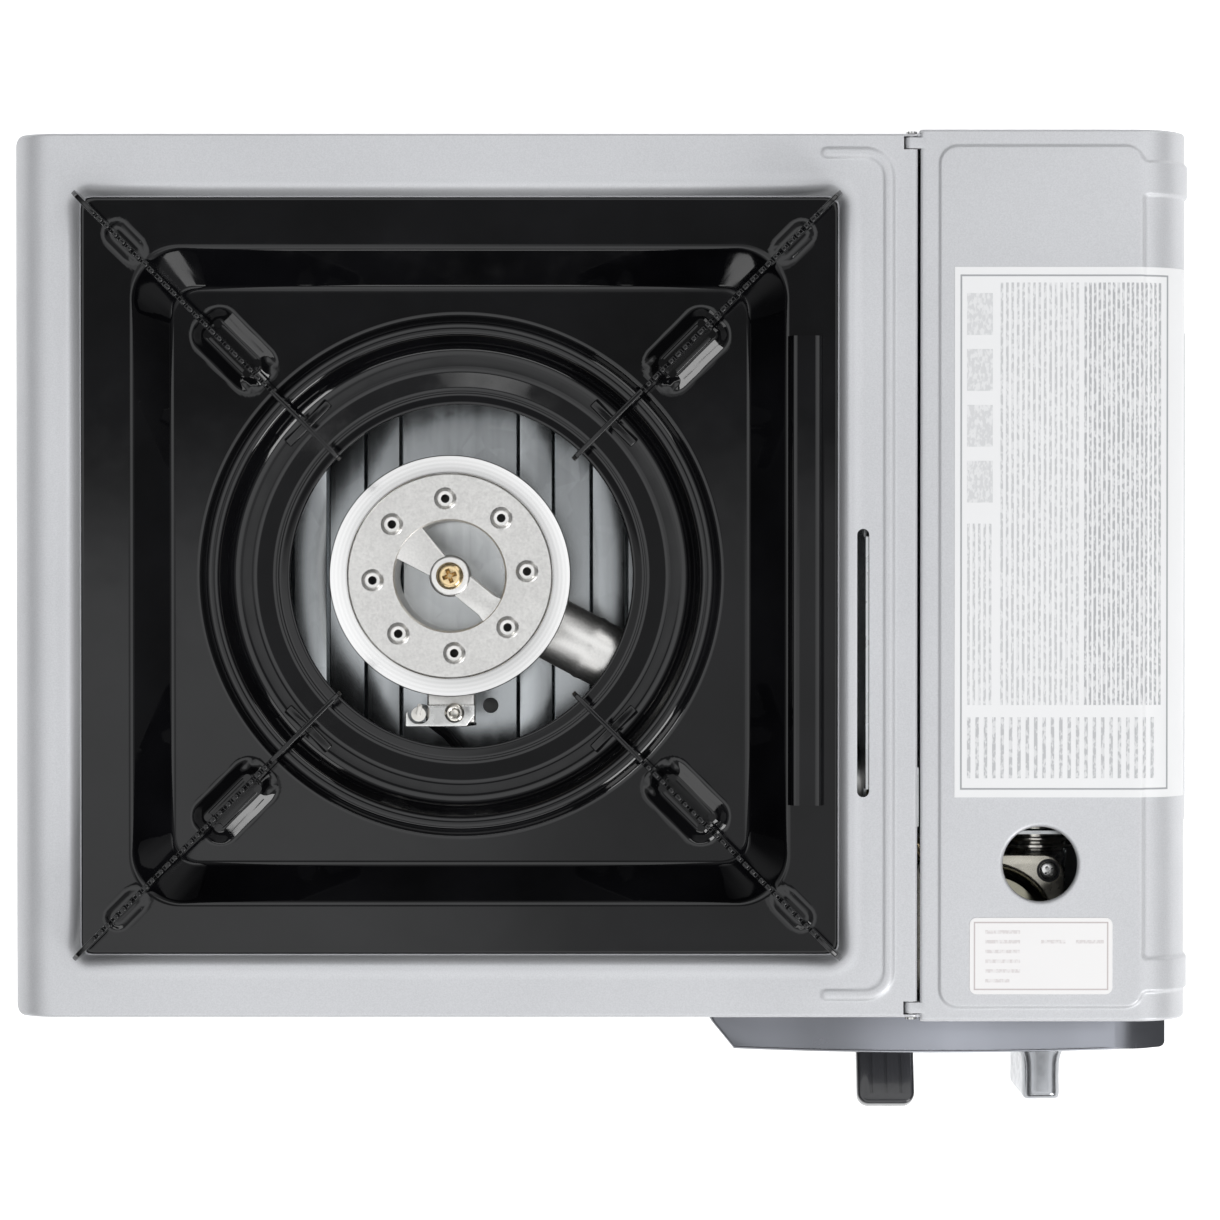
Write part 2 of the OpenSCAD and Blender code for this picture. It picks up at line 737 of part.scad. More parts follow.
module heat_shield() color("gainsboro") difference() {
  union() {
    block([shield_x, tray_front + 12, tray_top], [shield_x + sheet_t, tray_back - 12, ledge_z - 4]);
    block([shield_x, body_y - slot_front - slot_len / 2 + 2, tray_top],
      [shield_x + sheet_t, body_y - slot_front + slot_len / 2 - 2, part_top]);
    block([shield_x - foot_flange_w, tray_front + 12, tray_top],
      [shield_x + sheet_t, tray_back - 12, tray_top + sheet_t]);
  }
  cross = (shield_x - burner_x) / tube_dir[0];
  translate([burner_x, body_y, tube_z]) rotate([0, 0, -tube_turn]) rotate([0, 90, 0])
    cylinder(h = 2 * cross, r = tube_r + flare + pipe_gap);
  block([shield_x - foot_flange_w - 1, LEAD[11][1] - 4, tray_top - 1],
    [shield_x + 2, LEAD[11][1] + 4, LEAD[11][2] + lead_r + 2]);
}

// ---------- burner ----------

module burner_stand() color("lightgray") translate([burner_x, body_y, 0]) {
  block([-stand_w / 2, -stand_l / 2, stand_top - stand_t], [stand_w / 2, stand_l / 2, stand_top]);
  for (side = [-1, 1]) {
    leg_y = side * (stand_l - stand_t) / 2;
    foot_y = side * (stand_l / 2 + stand_foot / 2 - stand_t);
    block([-stand_w / 2, leg_y - stand_t / 2, tray_top], [stand_w / 2, leg_y + stand_t / 2, stand_top]);
    block([-stand_w / 2, foot_y - stand_foot / 2, tray_top],
      [stand_w / 2, foot_y + stand_foot / 2, tray_top + stand_t]);
  }
}

module tube_place() {
  translate([burner_x, body_y, tube_z]) rotate([0, 0, -tube_turn]) rotate([0, 90, 0]) children();
}

module burner_casting() color("silver") difference() {
  union() {
    translate([burner_x, body_y, bowl_z]) {
      difference() {
        cylinder(h = bowl_h, r = burner_r - 1, $fn = 96);
        translate([0, 0, -1]) cylinder(h = bowl_h + 2, r = burner_eye_r);
      }
      rotate([0, 0, bar_turn]) block([-burner_eye_r - 1, -bar_w / 2, 0], [burner_eye_r + 1, bar_w / 2, 8]);
      cylinder(h = bowl_h, r = hub_r);
    }
    tube_place() translate([0, 0, burner_r - 10]) cylinder(h = tube_reach - burner_r + 10, r = tube_r);
    tube_place() translate([0, 0, tube_reach - 4]) cylinder(h = 4, r = tube_r + flare);
    // lug that carries the electrode bracket
    block([burner_x - lug_w / 2, electrode_y - 3, cap_z - 10],
      [burner_x + lug_w / 2, body_y - burner_r + 4, cap_z - 6]);
  }
  // gas channel under the cap
  translate([burner_x, body_y, bowl_z + cast_wall]) difference() {
    cylinder(h = bowl_h, r = burner_r - 1 - cast_wall, $fn = 96);
    translate([0, 0, -1]) cylinder(h = bowl_h + 2, r = burner_eye_r + cast_wall);
  }
  tube_place() translate([0, 0, burner_eye_r + cast_wall + 2])
    cylinder(h = tube_reach, r = tube_r - tube_wall);
  // bore of the burner screw
  translate([burner_x, body_y, bowl_z + 4]) cylinder(h = bowl_h, r = burner_screw_r + run_gap);
  translate([rivet_x, electrode_y, bracket_z - 7]) cylinder(h = 8, r = bracket_rivet_r + run_gap);
}

module port_places() {
  for (k = [0 : port_count - 1]) translate([burner_x, body_y, 0])
    rotate([0, 0, port_turn + 90 + k * 360 / port_count])
    translate([port_circle_r, 0, 0]) children();
}

module burner_cap() color("gainsboro") difference() {
  union() {
    translate([burner_x, body_y, cap_z]) {
      rotate_extrude($fn = 96) polygon([
        [burner_eye_r, 0], [burner_r, 0], [burner_r, cap_t - 1.2], [burner_r - cap_ring_w, cap_t],
        [burner_r - cap_ring_w, cap_t - 0.4], [burner_eye_r, cap_t - 0.4]]);
      rotate([0, 0, bar_turn])
        block([-burner_eye_r - 1, -bar_w / 2, 0], [burner_eye_r + 1, bar_w / 2, cap_t - 0.6]);
      cylinder(h = cap_t - 0.2, r = hub_r);
    }
    port_places() translate([0, 0, cap_z + cap_t - 0.4 - eps])
      cylinder(h = port_boss_h, r1 = port_boss_r + 0.5, r2 = port_boss_r);
  }
  port_places() translate([0, 0, cap_z - 1]) cylinder(h = cap_t + port_boss_h + 2, r = port_hole_r);
  translate([burner_x, body_y, cap_z - 1]) cylinder(h = cap_t + 2, r = burner_screw_r + run_gap);
}

module burner_screw() color("goldenrod") translate([burner_x, body_y, burner_top - 0.2])
  screw(burner_head_r, 2.4, burner_screw_r, cap_t + bowl_h - 6);

// ---------- igniter ----------

// Top side of the electrode bracket, its sheet, and where its rivet stands
bracket_z = cap_z - 5;
bracket_t = 1;
rivet_x = burner_x + 1;
bracket_rivet_r = 1.55;

module electrode_bracket() color("silver") difference() {
  union() {
    block([ceramic_x - 4, electrode_y - 4, bracket_z - bracket_t],
      [burner_x + lug_w / 2, electrode_y + 2.4, bracket_z]);
    block([ceramic_x - 4, electrode_y - 4, bracket_z - 11],
      [burner_x + lug_w / 2, electrode_y - 3.1, bracket_z]);
  }
  translate([rivet_x, electrode_y, bracket_z - 3]) cylinder(h = 5, r = bracket_rivet_r + run_gap);
  translate([ceramic_x, ceramic_y, cap_z - 8]) cylinder(h = 5, r = ceramic_r + run_gap);
}

module electrode_rivet() color("silver") translate([rivet_x, electrode_y, bracket_z]) {
  cylinder(h = 1, r = 2.8);
  translate([0, 0, -6]) cylinder(h = 6.5, r = bracket_rivet_r);
  translate([0, 0, -6]) cylinder(h = 1, r = 2.4);
}

// Ceramic sleeve and the spark wire that bends towards the cap
module electrode() color("ivory") translate([ceramic_x, ceramic_y, 0]) {
  translate([0, 0, ceramic_z]) cylinder(h = cap_z - 3 - ceramic_z, r = ceramic_r);
  translate([0, 0, cap_z - 4]) cylinder(h = 5.6, r = wire_r);
  translate([0, 0, cap_z + 1]) rotate([0, 60, wire_turn]) cylinder(h = 3.4, r = wire_r);
}

// Rings of the lead, each square to its route
function lead_dir(i) = LEAD[min(i + 1, len(LEAD) - 1)] - LEAD[max(i - 1, 0)];
function unit(v) = v / norm(v);
function lead_side(d) = abs(d[2]) > 0.9 ? unit(cross(d, [0, 1, 0])) : unit(cross(d, [0, 0, 1]));
function lead_ring(i) = let (d = unit(lead_dir(i)), u = lead_side(d), v = cross(d, u))
  [for (k = [0 : lead_sides - 1])
    LEAD[i] + lead_r * (cos(360 * k / lead_sides) * u + sin(360 * k / lead_sides) * v)];

module ignition_lead() color("black") {
  rings = len(LEAD);
  points = [for (i = [0 : rings - 1]) each lead_ring(i)];
  sides = [for (i = [0 : rings - 2], k = [0 : lead_sides - 1])
    let (a = i * lead_sides + k, b = i * lead_sides + (k + 1) % lead_sides)
    [a, b, b + lead_sides, a + lead_sides]];
  ends = [[for (k = [lead_sides - 1 : -1 : 0]) k],
    [for (k = [0 : lead_sides - 1]) (rings - 1) * lead_sides + k]];
  polyhedron(points, concat(sides, ends), convexity = 6);
}

module piezo_igniter() color("dimgray") difference() {
  block([piezo_x - piezo_w / 2, piezo_y, piezo_z - piezo_h / 2],
    [piezo_x + piezo_w / 2, piezo_y + piezo_l, piezo_z + piezo_h / 2]);
  plunger_way(piezo_y - 1, piezo_y + plunger_in + plunger_travel + sit_gap);
}

// Square passage of the plunger from y0 to y1
module plunger_way(y0, y1) {
  half = plunger_w / 2 + sit_gap;
  block([piezo_x - half, y0, piezo_z - half], [piezo_x + half, y1, piezo_z + half]);
}

module igniter_plunger() color("white")
  block([piezo_x - plunger_w / 2, wall_front - plunger_out, piezo_z - plunger_w / 2],
    [piezo_x + plunger_w / 2, piezo_y + plunger_in, piezo_z + plunger_w / 2]);

// ---------- gas fittings ----------

reg_mid = [reg_x, reg_y];
jet_start = regulator_r - 3;

module regulator_body() color("silver") {
  difference() {
    union() {
      translate([reg_x, reg_y, reg_bottom]) cylinder(h = reg_flange_z - reg_bottom, r = regulator_r - 3);
      translate([reg_x, reg_y, reg_flange_z]) linear_extrude(reg_flange_t)
        round_rect(regulator_flange, regulator_flange, reg_corner_r);
      rod_y(gas_x, reg_y - regulator_flange / 2, gas_z, regulator_flange, barrel_r);
    }
    rod_y(gas_x, reg_y - regulator_flange / 2 - 1, gas_z, 21, stem_r + run_gap);
    for (p = reg_screw_places()) translate([p[0], p[1], reg_flange_z - 1])
      cylinder(h = reg_flange_t + 2, r = reg_screw_r + run_gap);
  }
}

reg_screw_r = 1.4;
function reg_screw_places() = [
  for (sx = [-1, 1], sy = [-1, 1]) [reg_x + sx * (regulator_flange / 2 - reg_screw_inset),
    reg_y + sy * (regulator_flange / 2 - reg_screw_inset)]
];

module regulator_cover() color("gray") difference() {
  union() {
    translate([reg_x, reg_y, reg_flange_z + reg_flange_t]) linear_extrude(reg_cover_t)
      round_rect(regulator_flange, regulator_flange, reg_corner_r);
    translate([reg_x, reg_y, reg_flange_z + reg_flange_t + reg_cover_t - eps])
      cylinder(h = 3, r1 = regulator_r - 2, r2 = regulator_r - 3.5);
    translate([reg_x, reg_y, reg_flange_z + reg_flange_t + 4]) cylinder(h = 3, r = reg_nut_r);
  }
  for (p = reg_screw_places()) translate([p[0], p[1], reg_flange_z])
    cylinder(h = 12, r = reg_screw_r + run_gap);
}

module regulator_screws() color("silver") for (p = reg_screw_places())
  translate([p[0], p[1], reg_flange_z + reg_flange_t + reg_cover_t])
    screw(2.6, 1.6, reg_screw_r, reg_flange_t + reg_cover_t);

module regulator_bracket() color("lightgray") {
  half = 14;
  leg_t = 1.2;
  block([reg_x - half, reg_y - half, reg_bottom - leg_t], [reg_x + half, reg_y + half, reg_bottom]);
  for (s = [-1, 1]) {
    leg_y = reg_y + s * (half - leg_t / 2);
    toe_y = reg_y + s * (half - 4);
    block([reg_x - half, leg_y - leg_t / 2, tray_top], [reg_x + half, leg_y + leg_t / 2, reg_bottom]);
    block([reg_x - half, toe_y - 4, tray_top], [reg_x + half, toe_y + 4, tray_top + leg_t]);
  }
}

module canister_socket() color("silver") difference() {
  union() {
    rod_y(gas_x, reg_y + regulator_flange / 2, gas_z, socket_l, socket_r - 3);
    rod_y(gas_x, reg_y + regulator_flange / 2 + 1, gas_z, 1.2, socket_r);
    rod_y(gas_x, reg_y + regulator_flange / 2 + 3, gas_z, 1.2, socket_r - 1);
  }
  rod_y(gas_x, reg_y + regulator_flange / 2 + 3, gas_z, socket_l, 4.5);
}

module canister_guide() color("lightgray") difference() {
  guide_x0 = side_arm_x + 3;
  union() {
    block([guide_x0, guide_y, tray_top],
      [bay_side_x - sheet_t - sit_gap, guide_y + guide_t, gas_z + guide_rise]);
    block([guide_x0, guide_y - guide_toe, tray_top],
      [bay_side_x - sheet_t - sit_gap, guide_y + guide_t, tray_top + 1]);
  }
  rod_y(gas_x, guide_y - 1, gas_z, guide_t + 9, socket_r + 6);
}

module gas_jet() color("goldenrod") translate([reg_x, reg_y, tube_z]) rotate([0, 0, 180 - jet_turn])
  rotate([0, 90, 0]) {
  translate([0, 0, jet_start]) cylinder(h = 3, r = jet_r + 1.6, $fn = 6);
  translate([0, 0, jet_start + 3 - eps]) cylinder(h = jet_reach - jet_start - 3, r = jet_r);
}
// Direction from the regulator to the mouth of the mixing tube
mouth = [burner_x, body_y] + tube_reach * tube_dir;
jet_turn = atan2(mouth[1] - reg_y, reg_x - mouth[0]);
jet_reach = norm(mouth - reg_mid) + 3;

// ---------- control panel ----------

module panel_plan(g) {
  intersection() {
    polygon([
      [panel_left + g, wall_front],
      [panel_right - g, wall_front],
      [panel_right - g, panel_face - panel_bulge + g],
      [panel_left + panel_d - 1 + g * 0.4, panel_face - panel_bulge + g],
      [panel_left + g, wall_front - 1.4]
    ]);
    translate([panel_mid_x, bulge_y]) circle(bulge_r - g, $fn = 720);
  }
}

panel_screw_r = 1.5;
function panel_screw_places() = [[panel_left + 16, panel_bottom + 14],
  [panel_right - 9, panel_bottom + 14]];

// The knob's disc lies in a round pocket of the panel
pocket_depth = knob_disc_t + knob_gap + 0.6;
knob_y = panel_face - panel_bulge + pocket_depth - knob_gap;

module knob_pocket(from_y, depth, grow) {
  rod_y(gas_x, from_y, gas_z, depth, knob_r + move_gap + grow);
}

module control_panel() color("darkslategray") difference() {
  translate([0, 0, panel_bottom]) linear_extrude(panel_top - panel_bottom) panel_plan(0);
  difference() {
    translate([0, 0, panel_bottom + panel_wall])
      linear_extrude(panel_top - panel_bottom - 2 * panel_wall) panel_plan(panel_wall);
    for (p = panel_screw_places()) rod_y(p[0], panel_face - panel_bulge, p[1], panel_d + panel_bulge, 4);
    knob_pocket(panel_face - panel_bulge, pocket_depth + panel_wall, panel_wall);
  }
  knob_pocket(panel_face - panel_bulge - 1, pocket_depth + 1, 0);
  // bore for the knob's neck, slot for the lever, screw bores
  rod_y(gas_x, panel_face - panel_bulge - 1, gas_z, panel_d + panel_bulge + 2, stem_r + 4 + move_gap);
  block([handle_x - 1.2, panel_face - panel_bulge - 1, pivot_z - 7.5],
    [handle_x + handle_w + 1.2, wall_front + 1, pivot_z + 15.5]);
  for (p = panel_screw_places()) {
    rod_y(p[0], wall_front - 9, p[1], 10, panel_screw_r + run_gap);
    rod_y(p[0], panel_face - panel_bulge - 1, p[1], panel_d + panel_bulge - 3, 3.1);
  }
}

module panel_screws() color("gray") for (p = panel_screw_places())
  translate([p[0], wall_front - 4, p[1]]) rotate([90, 0, 0])
    screw(2.8, 1.8, panel_screw_r, 4 + sheet_t + 2);

module knob() color("black") difference() {
  union() {
    rod_y(gas_x, knob_y - knob_disc_t, gas_z, knob_disc_t, knob_r);
    rod_y(gas_x, knob_y - eps, gas_z, knob_gap + panel_wall + eps, stem_r + 4);
    intersection() {
      rod_y(gas_x, knob_y - knob_disc_t - grip_h, gas_z, grip_h + 1, knob_r - 1);
      union() {
        block([gas_x - grip_t / 2, knob_y - knob_disc_t - grip_h, gas_z - knob_r],
          [gas_x + grip_t / 2, knob_y - 1, gas_z + knob_r]);
        block([gas_x - grip_t / 2 - 2, knob_y - knob_disc_t - 1.6, gas_z - knob_r],
          [gas_x + grip_t / 2 + 2, knob_y - 1, gas_z + knob_r]);
      }
    }
  }
  rod_y(gas_x, knob_y - 2, gas_z, 10, stem_r + run_gap);
}

module valve_stem() color("silver") {
  rod_y(gas_x, knob_y - 2, gas_z, reg_y - regulator_flange / 2 + 18 - knob_y + 2, stem_r);
}

// Arm on the stem that reaches the igniter's plunger at the end of the turn
module igniter_cam() color("whitesmoke") difference() {
  cam_y = wall_front - plunger_out - sit_gap - 2;
  union() {
    rod_y(gas_x, cam_y, gas_z, 2, stem_r + 3);
    translate([gas_x, 0, gas_z]) rotate([0, -cam_rest, 0]) block([0, cam_y, -3], [cam_r + 2, cam_y + 2, 3]);
  }
  rod_y(gas_x, cam_y - 1, gas_z, 4, stem_r + run_gap);
}

// ---------- lever ----------

module at_pivot() {
  translate([0, pivot_y, pivot_z]) children();
}

handle_reach = pivot_back + front_reach;
// Outline of the bell crank in Y and Z, pivot at the origin
module crank_outline() {
  circle(6);
  rotate(180 - lever_rest) translate([0, -2.5]) square([handle_reach / cos(lever_rest) - 6, 5]);
  rotate(90 - crank_lean) translate([0, -3]) square([crank_r, 6]);
  rotate(90 - crank_lean) translate([crank_r, 0]) circle(3.4);
}

module lever_arm() color("silver") difference() {
  at_pivot() along_x(arm_x, arm_x + arm_t) crank_outline();
  rod_x(arm_x - 1, pivot_y, pivot_z, arm_t + 2, stud_r + run_gap);
  rod_x(arm_x - 1, drive_y, drive_z, arm_t + 2, drive_pin_r + run_gap / 5);
}

module drive_pin() color("silver") {
  rod_x(arm_x, drive_y, drive_z, side_arm_x + sheet_t + 1 - arm_x, drive_pin_r);
  rod_x(arm_x - 0.5, drive_y, drive_z, 0.5, drive_pin_r + 0.8);
}

module pivot_stud() color("silver") {
  rod_x(part_x - 0.8, pivot_y, pivot_z, 0.8, stud_r + 1.2);
  rod_x(part_x - eps, pivot_y, pivot_z, arm_x + arm_t + sit_gap - part_x + 2 * eps, stud_r);
  rod_x(part_x + sheet_t, pivot_y, pivot_z, arm_x - part_x - sheet_t - sit_gap, stud_r + 1.2);
  rod_x(arm_x + arm_t + sit_gap, pivot_y, pivot_z, 0.7, stud_r + 1.2);
}

module lever_handle() color("black") difference() {
  at_pivot() rotate([-lever_rest, 0, 0]) {
    y0 = -(handle_reach / cos(lever_rest)) + handle_t / 2 * tan(lever_rest);
    len = front_reach + 3 - panel_d;
    intersection() {
      block([handle_x, y0, -handle_t / 2], [handle_x + handle_w, y0 + len, handle_t / 2]);
      translate([handle_x + handle_w / 2, y0 + len / 2, -handle_t]) linear_extrude(2 * handle_t)
        round_rect(handle_w, len, 3.5);
    }
  }
  at_pivot() along_x(arm_x - eps, arm_x + arm_t + eps) rotate(180 - lever_rest)
    translate([0, -2.5 - eps]) square([handle_reach / cos(lever_rest) - 6 + eps, 5 + 2 * eps]);
}

// ---------- carriage ----------

module canister_carriage() color("lightgray") difference() {
  union() {
    // cradle floor and its upturned sides
    block([gas_x - cradle_w / 2, cradle_front, cradle_z],
      [gas_x + cradle_w / 2, cradle_back, cradle_z + sheet_t]);
    for (s = [-1, 1])
      block([gas_x + s * (cradle_w / 2 - sheet_t / 2) - sheet_t / 2, cradle_front, cradle_z],
      [gas_x + s * (cradle_w / 2 - sheet_t / 2) + sheet_t / 2, cradle_back, cradle_z + 9]);
    // rear stop
    block([gas_x - 14, cradle_back - sheet_t, cradle_z], [gas_x + 14, cradle_back, gas_z + 6]);
    // side arm to the drive pin
    block([side_arm_x, cradle_front, cradle_z],
      [gas_x - cradle_w / 2 + eps, cradle_front + 12, cradle_z + sheet_t]);
    block([side_arm_x, cradle_front, cradle_z], [side_arm_x + sheet_t, cradle_front + 12, arm_low_z + 12]);
    block([side_arm_x, drive_y + 5, arm_low_z], [side_arm_x + sheet_t, cradle_front + 12, arm_low_z + 12]);
    block([side_arm_x, drive_y - 5, drive_z - 5], [side_arm_x + sheet_t, drive_y + 15, drive_z + 5]);
    block([side_arm_x, drive_y + 5, arm_low_z], [side_arm_x + sheet_t, drive_y + 15, drive_z + 5]);
  }
  // upright slot for the drive pin, slots for the guide studs
  along_x(side_arm_x - 1, side_arm_x + sheet_t + 1) translate([drive_y, drive_z + 0.25]) rotate(90)
    round_slot(2 * drive_pin_r + 1.6, 2 * drive_pin_r + 0.7);
  for (y = carriage_stud_places()) translate([gas_x, y + lever_travel / 2, cradle_z - 1])
    rotate([0, 0, 90]) linear_extrude(sheet_t + 2)
    round_slot(lever_travel + 2 * stud_r + 2 * move_gap, 2 * stud_r + 2 * move_gap);
}

function carriage_stud_places() = [cradle_front + 0.14 * (cradle_back - cradle_front),
  cradle_back - 0.2 * (cradle_back - cradle_front)];

module carriage_studs() color("silver") for (y = carriage_stud_places()) translate([gas_x, y, 0]) {
  translate([0, 0, tray_top]) cylinder(h = sheet_t + 2 * sit_gap + eps, r = stud_r);
  translate([0, 0, tray_top + sheet_t + 2 * sit_gap]) cylinder(h = 0.8, r = stud_r + 2.4);
}

// Leaf spring on the rear stop that keeps the canister against the socket
module canister_spring() color("silver") translate([gas_x, cradle_back - sheet_t, gas_z]) {
  block([-5, -0.5, -14], [5, 0, 4]);
  along_x(-5, 5) polygon([[0, 4], [-0.5, 4], [-3.5, 11], [-1.5, 17], [-1, 17], [-2.9, 11]]);
}

// ---------- lid ----------

// Lid outline in X and Z, grown inward by g, from x0 to the side and from z0 to the top
module lid_profile(g, x0, z0) {
  r = lid_bend_r - g;
  translate([x0, z0]) square([lid_side_x - lid_bend_r - x0, body_top - g - z0]);
  translate([lid_side_x - lid_bend_r - eps, z0]) square([lid_bend_r - g + eps, body_top - lid_bend_r - z0]);
  translate([lid_side_x - lid_bend_r, body_top - lid_bend_r]) circle(r);
}

module lid_layer(outer, inner, y0, y1) {
  difference() {
    along_y(y0, y1) lid_profile(outer, lid_x, lid_bottom);
    along_y(y0 - 1, y1 + 1) lid_profile(inner, lid_x - 1, lid_bottom - 1);
  }
}

raise_y0 = y_front + raise_front;
raise_y1 = y_back - raise_back;
raise_x0 = lid_x + raise_left;

// Plan of the raised panel and the two bands that run over the side
module raise_plan() {
  translate([raise_x0 + raise_w / 2, (raise_y0 + raise_y1) / 2])
    round_rect(raise_w, raise_y1 - raise_y0, 5);
  for (y = [raise_y0 + band_inset, raise_y1 - band_inset - band_w])
    translate([raise_x0 + raise_w / 2, y]) square([stove_w, band_w]);
}

module lid() color("silver") difference() {
  union() {
    lid_layer(0, sheet_t, y_front, y_back);
    // raised panel and bands
    intersection() {
      lid_layer(-panel_raise, sheet_t / 2, y_front, y_back);
      linear_extrude(body_top + 2) raise_plan();
    }
    // end flanges
    for (y = [y_front, y_back - sheet_t]) difference() {
      along_y(y, y + sheet_t) lid_profile(0, lid_x, lid_bottom);
      along_y(y - 1, y + sheet_t + 1) lid_profile(lid_flange_h, lid_x - 1, lid_bottom - 1);
      block([lid_x, y - 1, lid_bottom - 1],
        [panel_right + sit_gap, y + sheet_t + 1, body_top - lid_flange_h]);
    }
    // flange along the seam
    block([lid_x, ear_front + ear_l + 1, body_top - seam_flange_h],
      [lid_x + sheet_t, ear_back - ear_l - 1, body_top]);
    // raised pad on the side
    block([lid_side_x - eps, body_y - side_pad_l / 2, body_top - lid_bend_r - side_pad_h],
      [x_right, body_y + side_pad_l / 2, body_top - lid_bend_r]);
    // hinge ears
    for (y = [ear_front, ear_back - ear_l]) {
      rod_y(hinge_x, y, hinge_z, ear_l, ear_r);
      block([hinge_x, y, hinge_z - ear_r], [lid_x + 2, y + ear_l, hinge_z + 1.2]);
      block([lid_x, y, hinge_z - ear_r], [lid_x + 2, y + ear_l, body_top - eps]);
    }
  }
  translate([gas_x - 3.4, reg_y + 20.7, body_top - 5]) cylinder(h = 10, r = view_hole_r);
  rod_y(hinge_x, ear_front - 1, hinge_z, ear_back - ear_front + 2, hinge_pin_r + run_gap);
}

module hinge_pins() color("silver") {
  for (s = [0, 1]) {
    wall_out = s == 0 ? wall_front : wall_back;
    head_y = s == 0 ? wall_out - 0.6 : wall_out;
    rod_y(hinge_x, head_y, hinge_z, 0.6, hinge_pin_r + 0.7);
    pin_y = s == 0 ? wall_out - eps : ear_back - ear_l - 0.6;
    rod_y(hinge_x, pin_y, hinge_z, sheet_t + sit_gap + ear_l + 0.6 + eps, hinge_pin_r);
  }
}

label_x0 = raise_x0 + 4.2;
label_y1 = y_back - label_back;

module info_label() color("white") {
  panel_edge = raise_x0 + raise_w;
  top_w = panel_edge - label_x0;
  block([label_x0, label_y1 - label_l, body_top + panel_raise],
    [panel_edge + label_t, label_y1, body_top + panel_raise + label_t]);
  block([panel_edge, label_y1 - label_l, body_top],
    [panel_edge + label_t, label_y1, body_top + panel_raise + label_t]);
  intersection() {
    lid_layer(-label_t, 0, label_y1 - label_l, label_y1);
    block([panel_edge, label_y1 - label_l, 0], [label_x0 + label_w, label_y1, body_top + 1]);
  }
}

module small_label() color("white")
  translate([raise_x0 + 8.6 + small_label_w / 2, y_front + small_label_front + small_label_l / 2,
    body_top + panel_raise])
  linear_extrude(label_t) round_rect(small_label_w, small_label_l, 2);

// ---------- drip pan ----------

// Places a child at each blade, its X axis pointing out along the diagonal
module blade_place(k) {
  translate([pan_x, body_y, 0]) rotate([0, 0, 45 + 90 * k]) children();
}

module drip_pan() color("black") difference() {
  union() {
    translate([pan_x, body_y, 0]) {
      // border
      translate([0, 0, ledge_z]) linear_extrude(pan_t) difference() {
        round_rect(pan_w, pan_w, pan_r);
        round_rect(floor_w + 2 * slope_w, floor_w + 2 * slope_w, floor_r + slope_w);
      }
      // slope
      frame_sweep(floor_w, floor_w, floor_r) polygon([
        [0, floor_z], [0, floor_z - pan_t], [slope_w, ledge_z], [slope_w + pan_t, ledge_z],
        [slope_w + pan_t, border_z], [slope_w, border_z]]);
      // floor
      translate([0, 0, floor_z - pan_t]) linear_extrude(pan_t) difference() {
        round_rect(floor_w + eps, floor_w + eps, floor_r);
        circle(ring_r - 0.5);
      }
      // ring bead, gutter and funnel
      rotate_extrude($fn = 128) ring_profile();
    }
    for (k = [0 : 3]) blade_place(k) {
      translate([pad_radius, 0, floor_z - eps]) linear_extrude(pad_h + eps) round_rect(pad_l, pad_w, 5);
      translate([corner_pad_radius, 0, border_z - eps]) linear_extrude(corner_pad_h + eps)
        round_slot(corner_pad_l, corner_pad_w);
    }
    pan_rail();
  }
  for (k = [0 : 3]) blade_place(k) {
    translate([pad_radius, 0, floor_z - pan_t - 1]) linear_extrude(pad_h + 1)
      round_rect(pad_l - 2 * pan_t, pad_w - 2 * pan_t, 5 - pan_t);
    for (p = rivet_places()) translate([p[0], p[1], floor_z])
      cylinder(h = pad_h + 1, r = rivet_r + run_gap);
  }
}

module ring_profile() {
  // heights of the bead's top side, then of the lip round the hole
  crest = floor_z + ring_h;
  inner_r = ring_r - ring_w;
  lip_z = gutter_z - funnel_drop + 0.6;
  lip_r = hole_r + 3;
  polygon([
    [ring_r, floor_z],
    [ring_r - 0.2 * ring_w, floor_z + 0.75 * ring_h],
    [ring_r - 0.4 * ring_w, crest],
    [ring_r - 0.6 * ring_w, floor_z + 0.9 * ring_h],
    [inner_r, gutter_z + pan_t],
    [inner_r - 1.5, gutter_z],
    [funnel_r, gutter_z],
    [lip_r + 1.6, gutter_z - funnel_drop],
    [lip_r, lip_z],
    [hole_r, lip_z],
    [hole_r, lip_z - pan_t],
    [lip_r, lip_z - pan_t],
    [lip_r + 1.6, gutter_z - funnel_drop - pan_t],
    [funnel_r, gutter_z - pan_t],
    [inner_r - 0.5, gutter_z - pan_t],
    [ring_r - 0.6 * ring_w + 0.6, floor_z + 0.9 * ring_h - pan_t],
    [ring_r - 0.4 * ring_w, crest - pan_t],
    [ring_r - 0.7, floor_z - pan_t],
    [ring_r, floor_z - pan_t]
  ]);
}

// Bridge-shaped rail pressed up from the border next to the bay
module pan_rail() {
  x0 = pan_x + floor_w / 2 + slope_w + 0.5;
  y0 = body_y - 66;
  along_y(y0, y0 + rail_l) difference() {
    translate([x0, border_z - eps]) square([rail_w, rail_h]);
    translate([x0 + pan_t, border_z - 1]) square([rail_w - 2 * pan_t, rail_h + 1 - pan_t]);
  }
}

function rivet_places() = [for (x = [-8, 8], y = [-2.1, 2.1]) [pad_radius + x, y]];

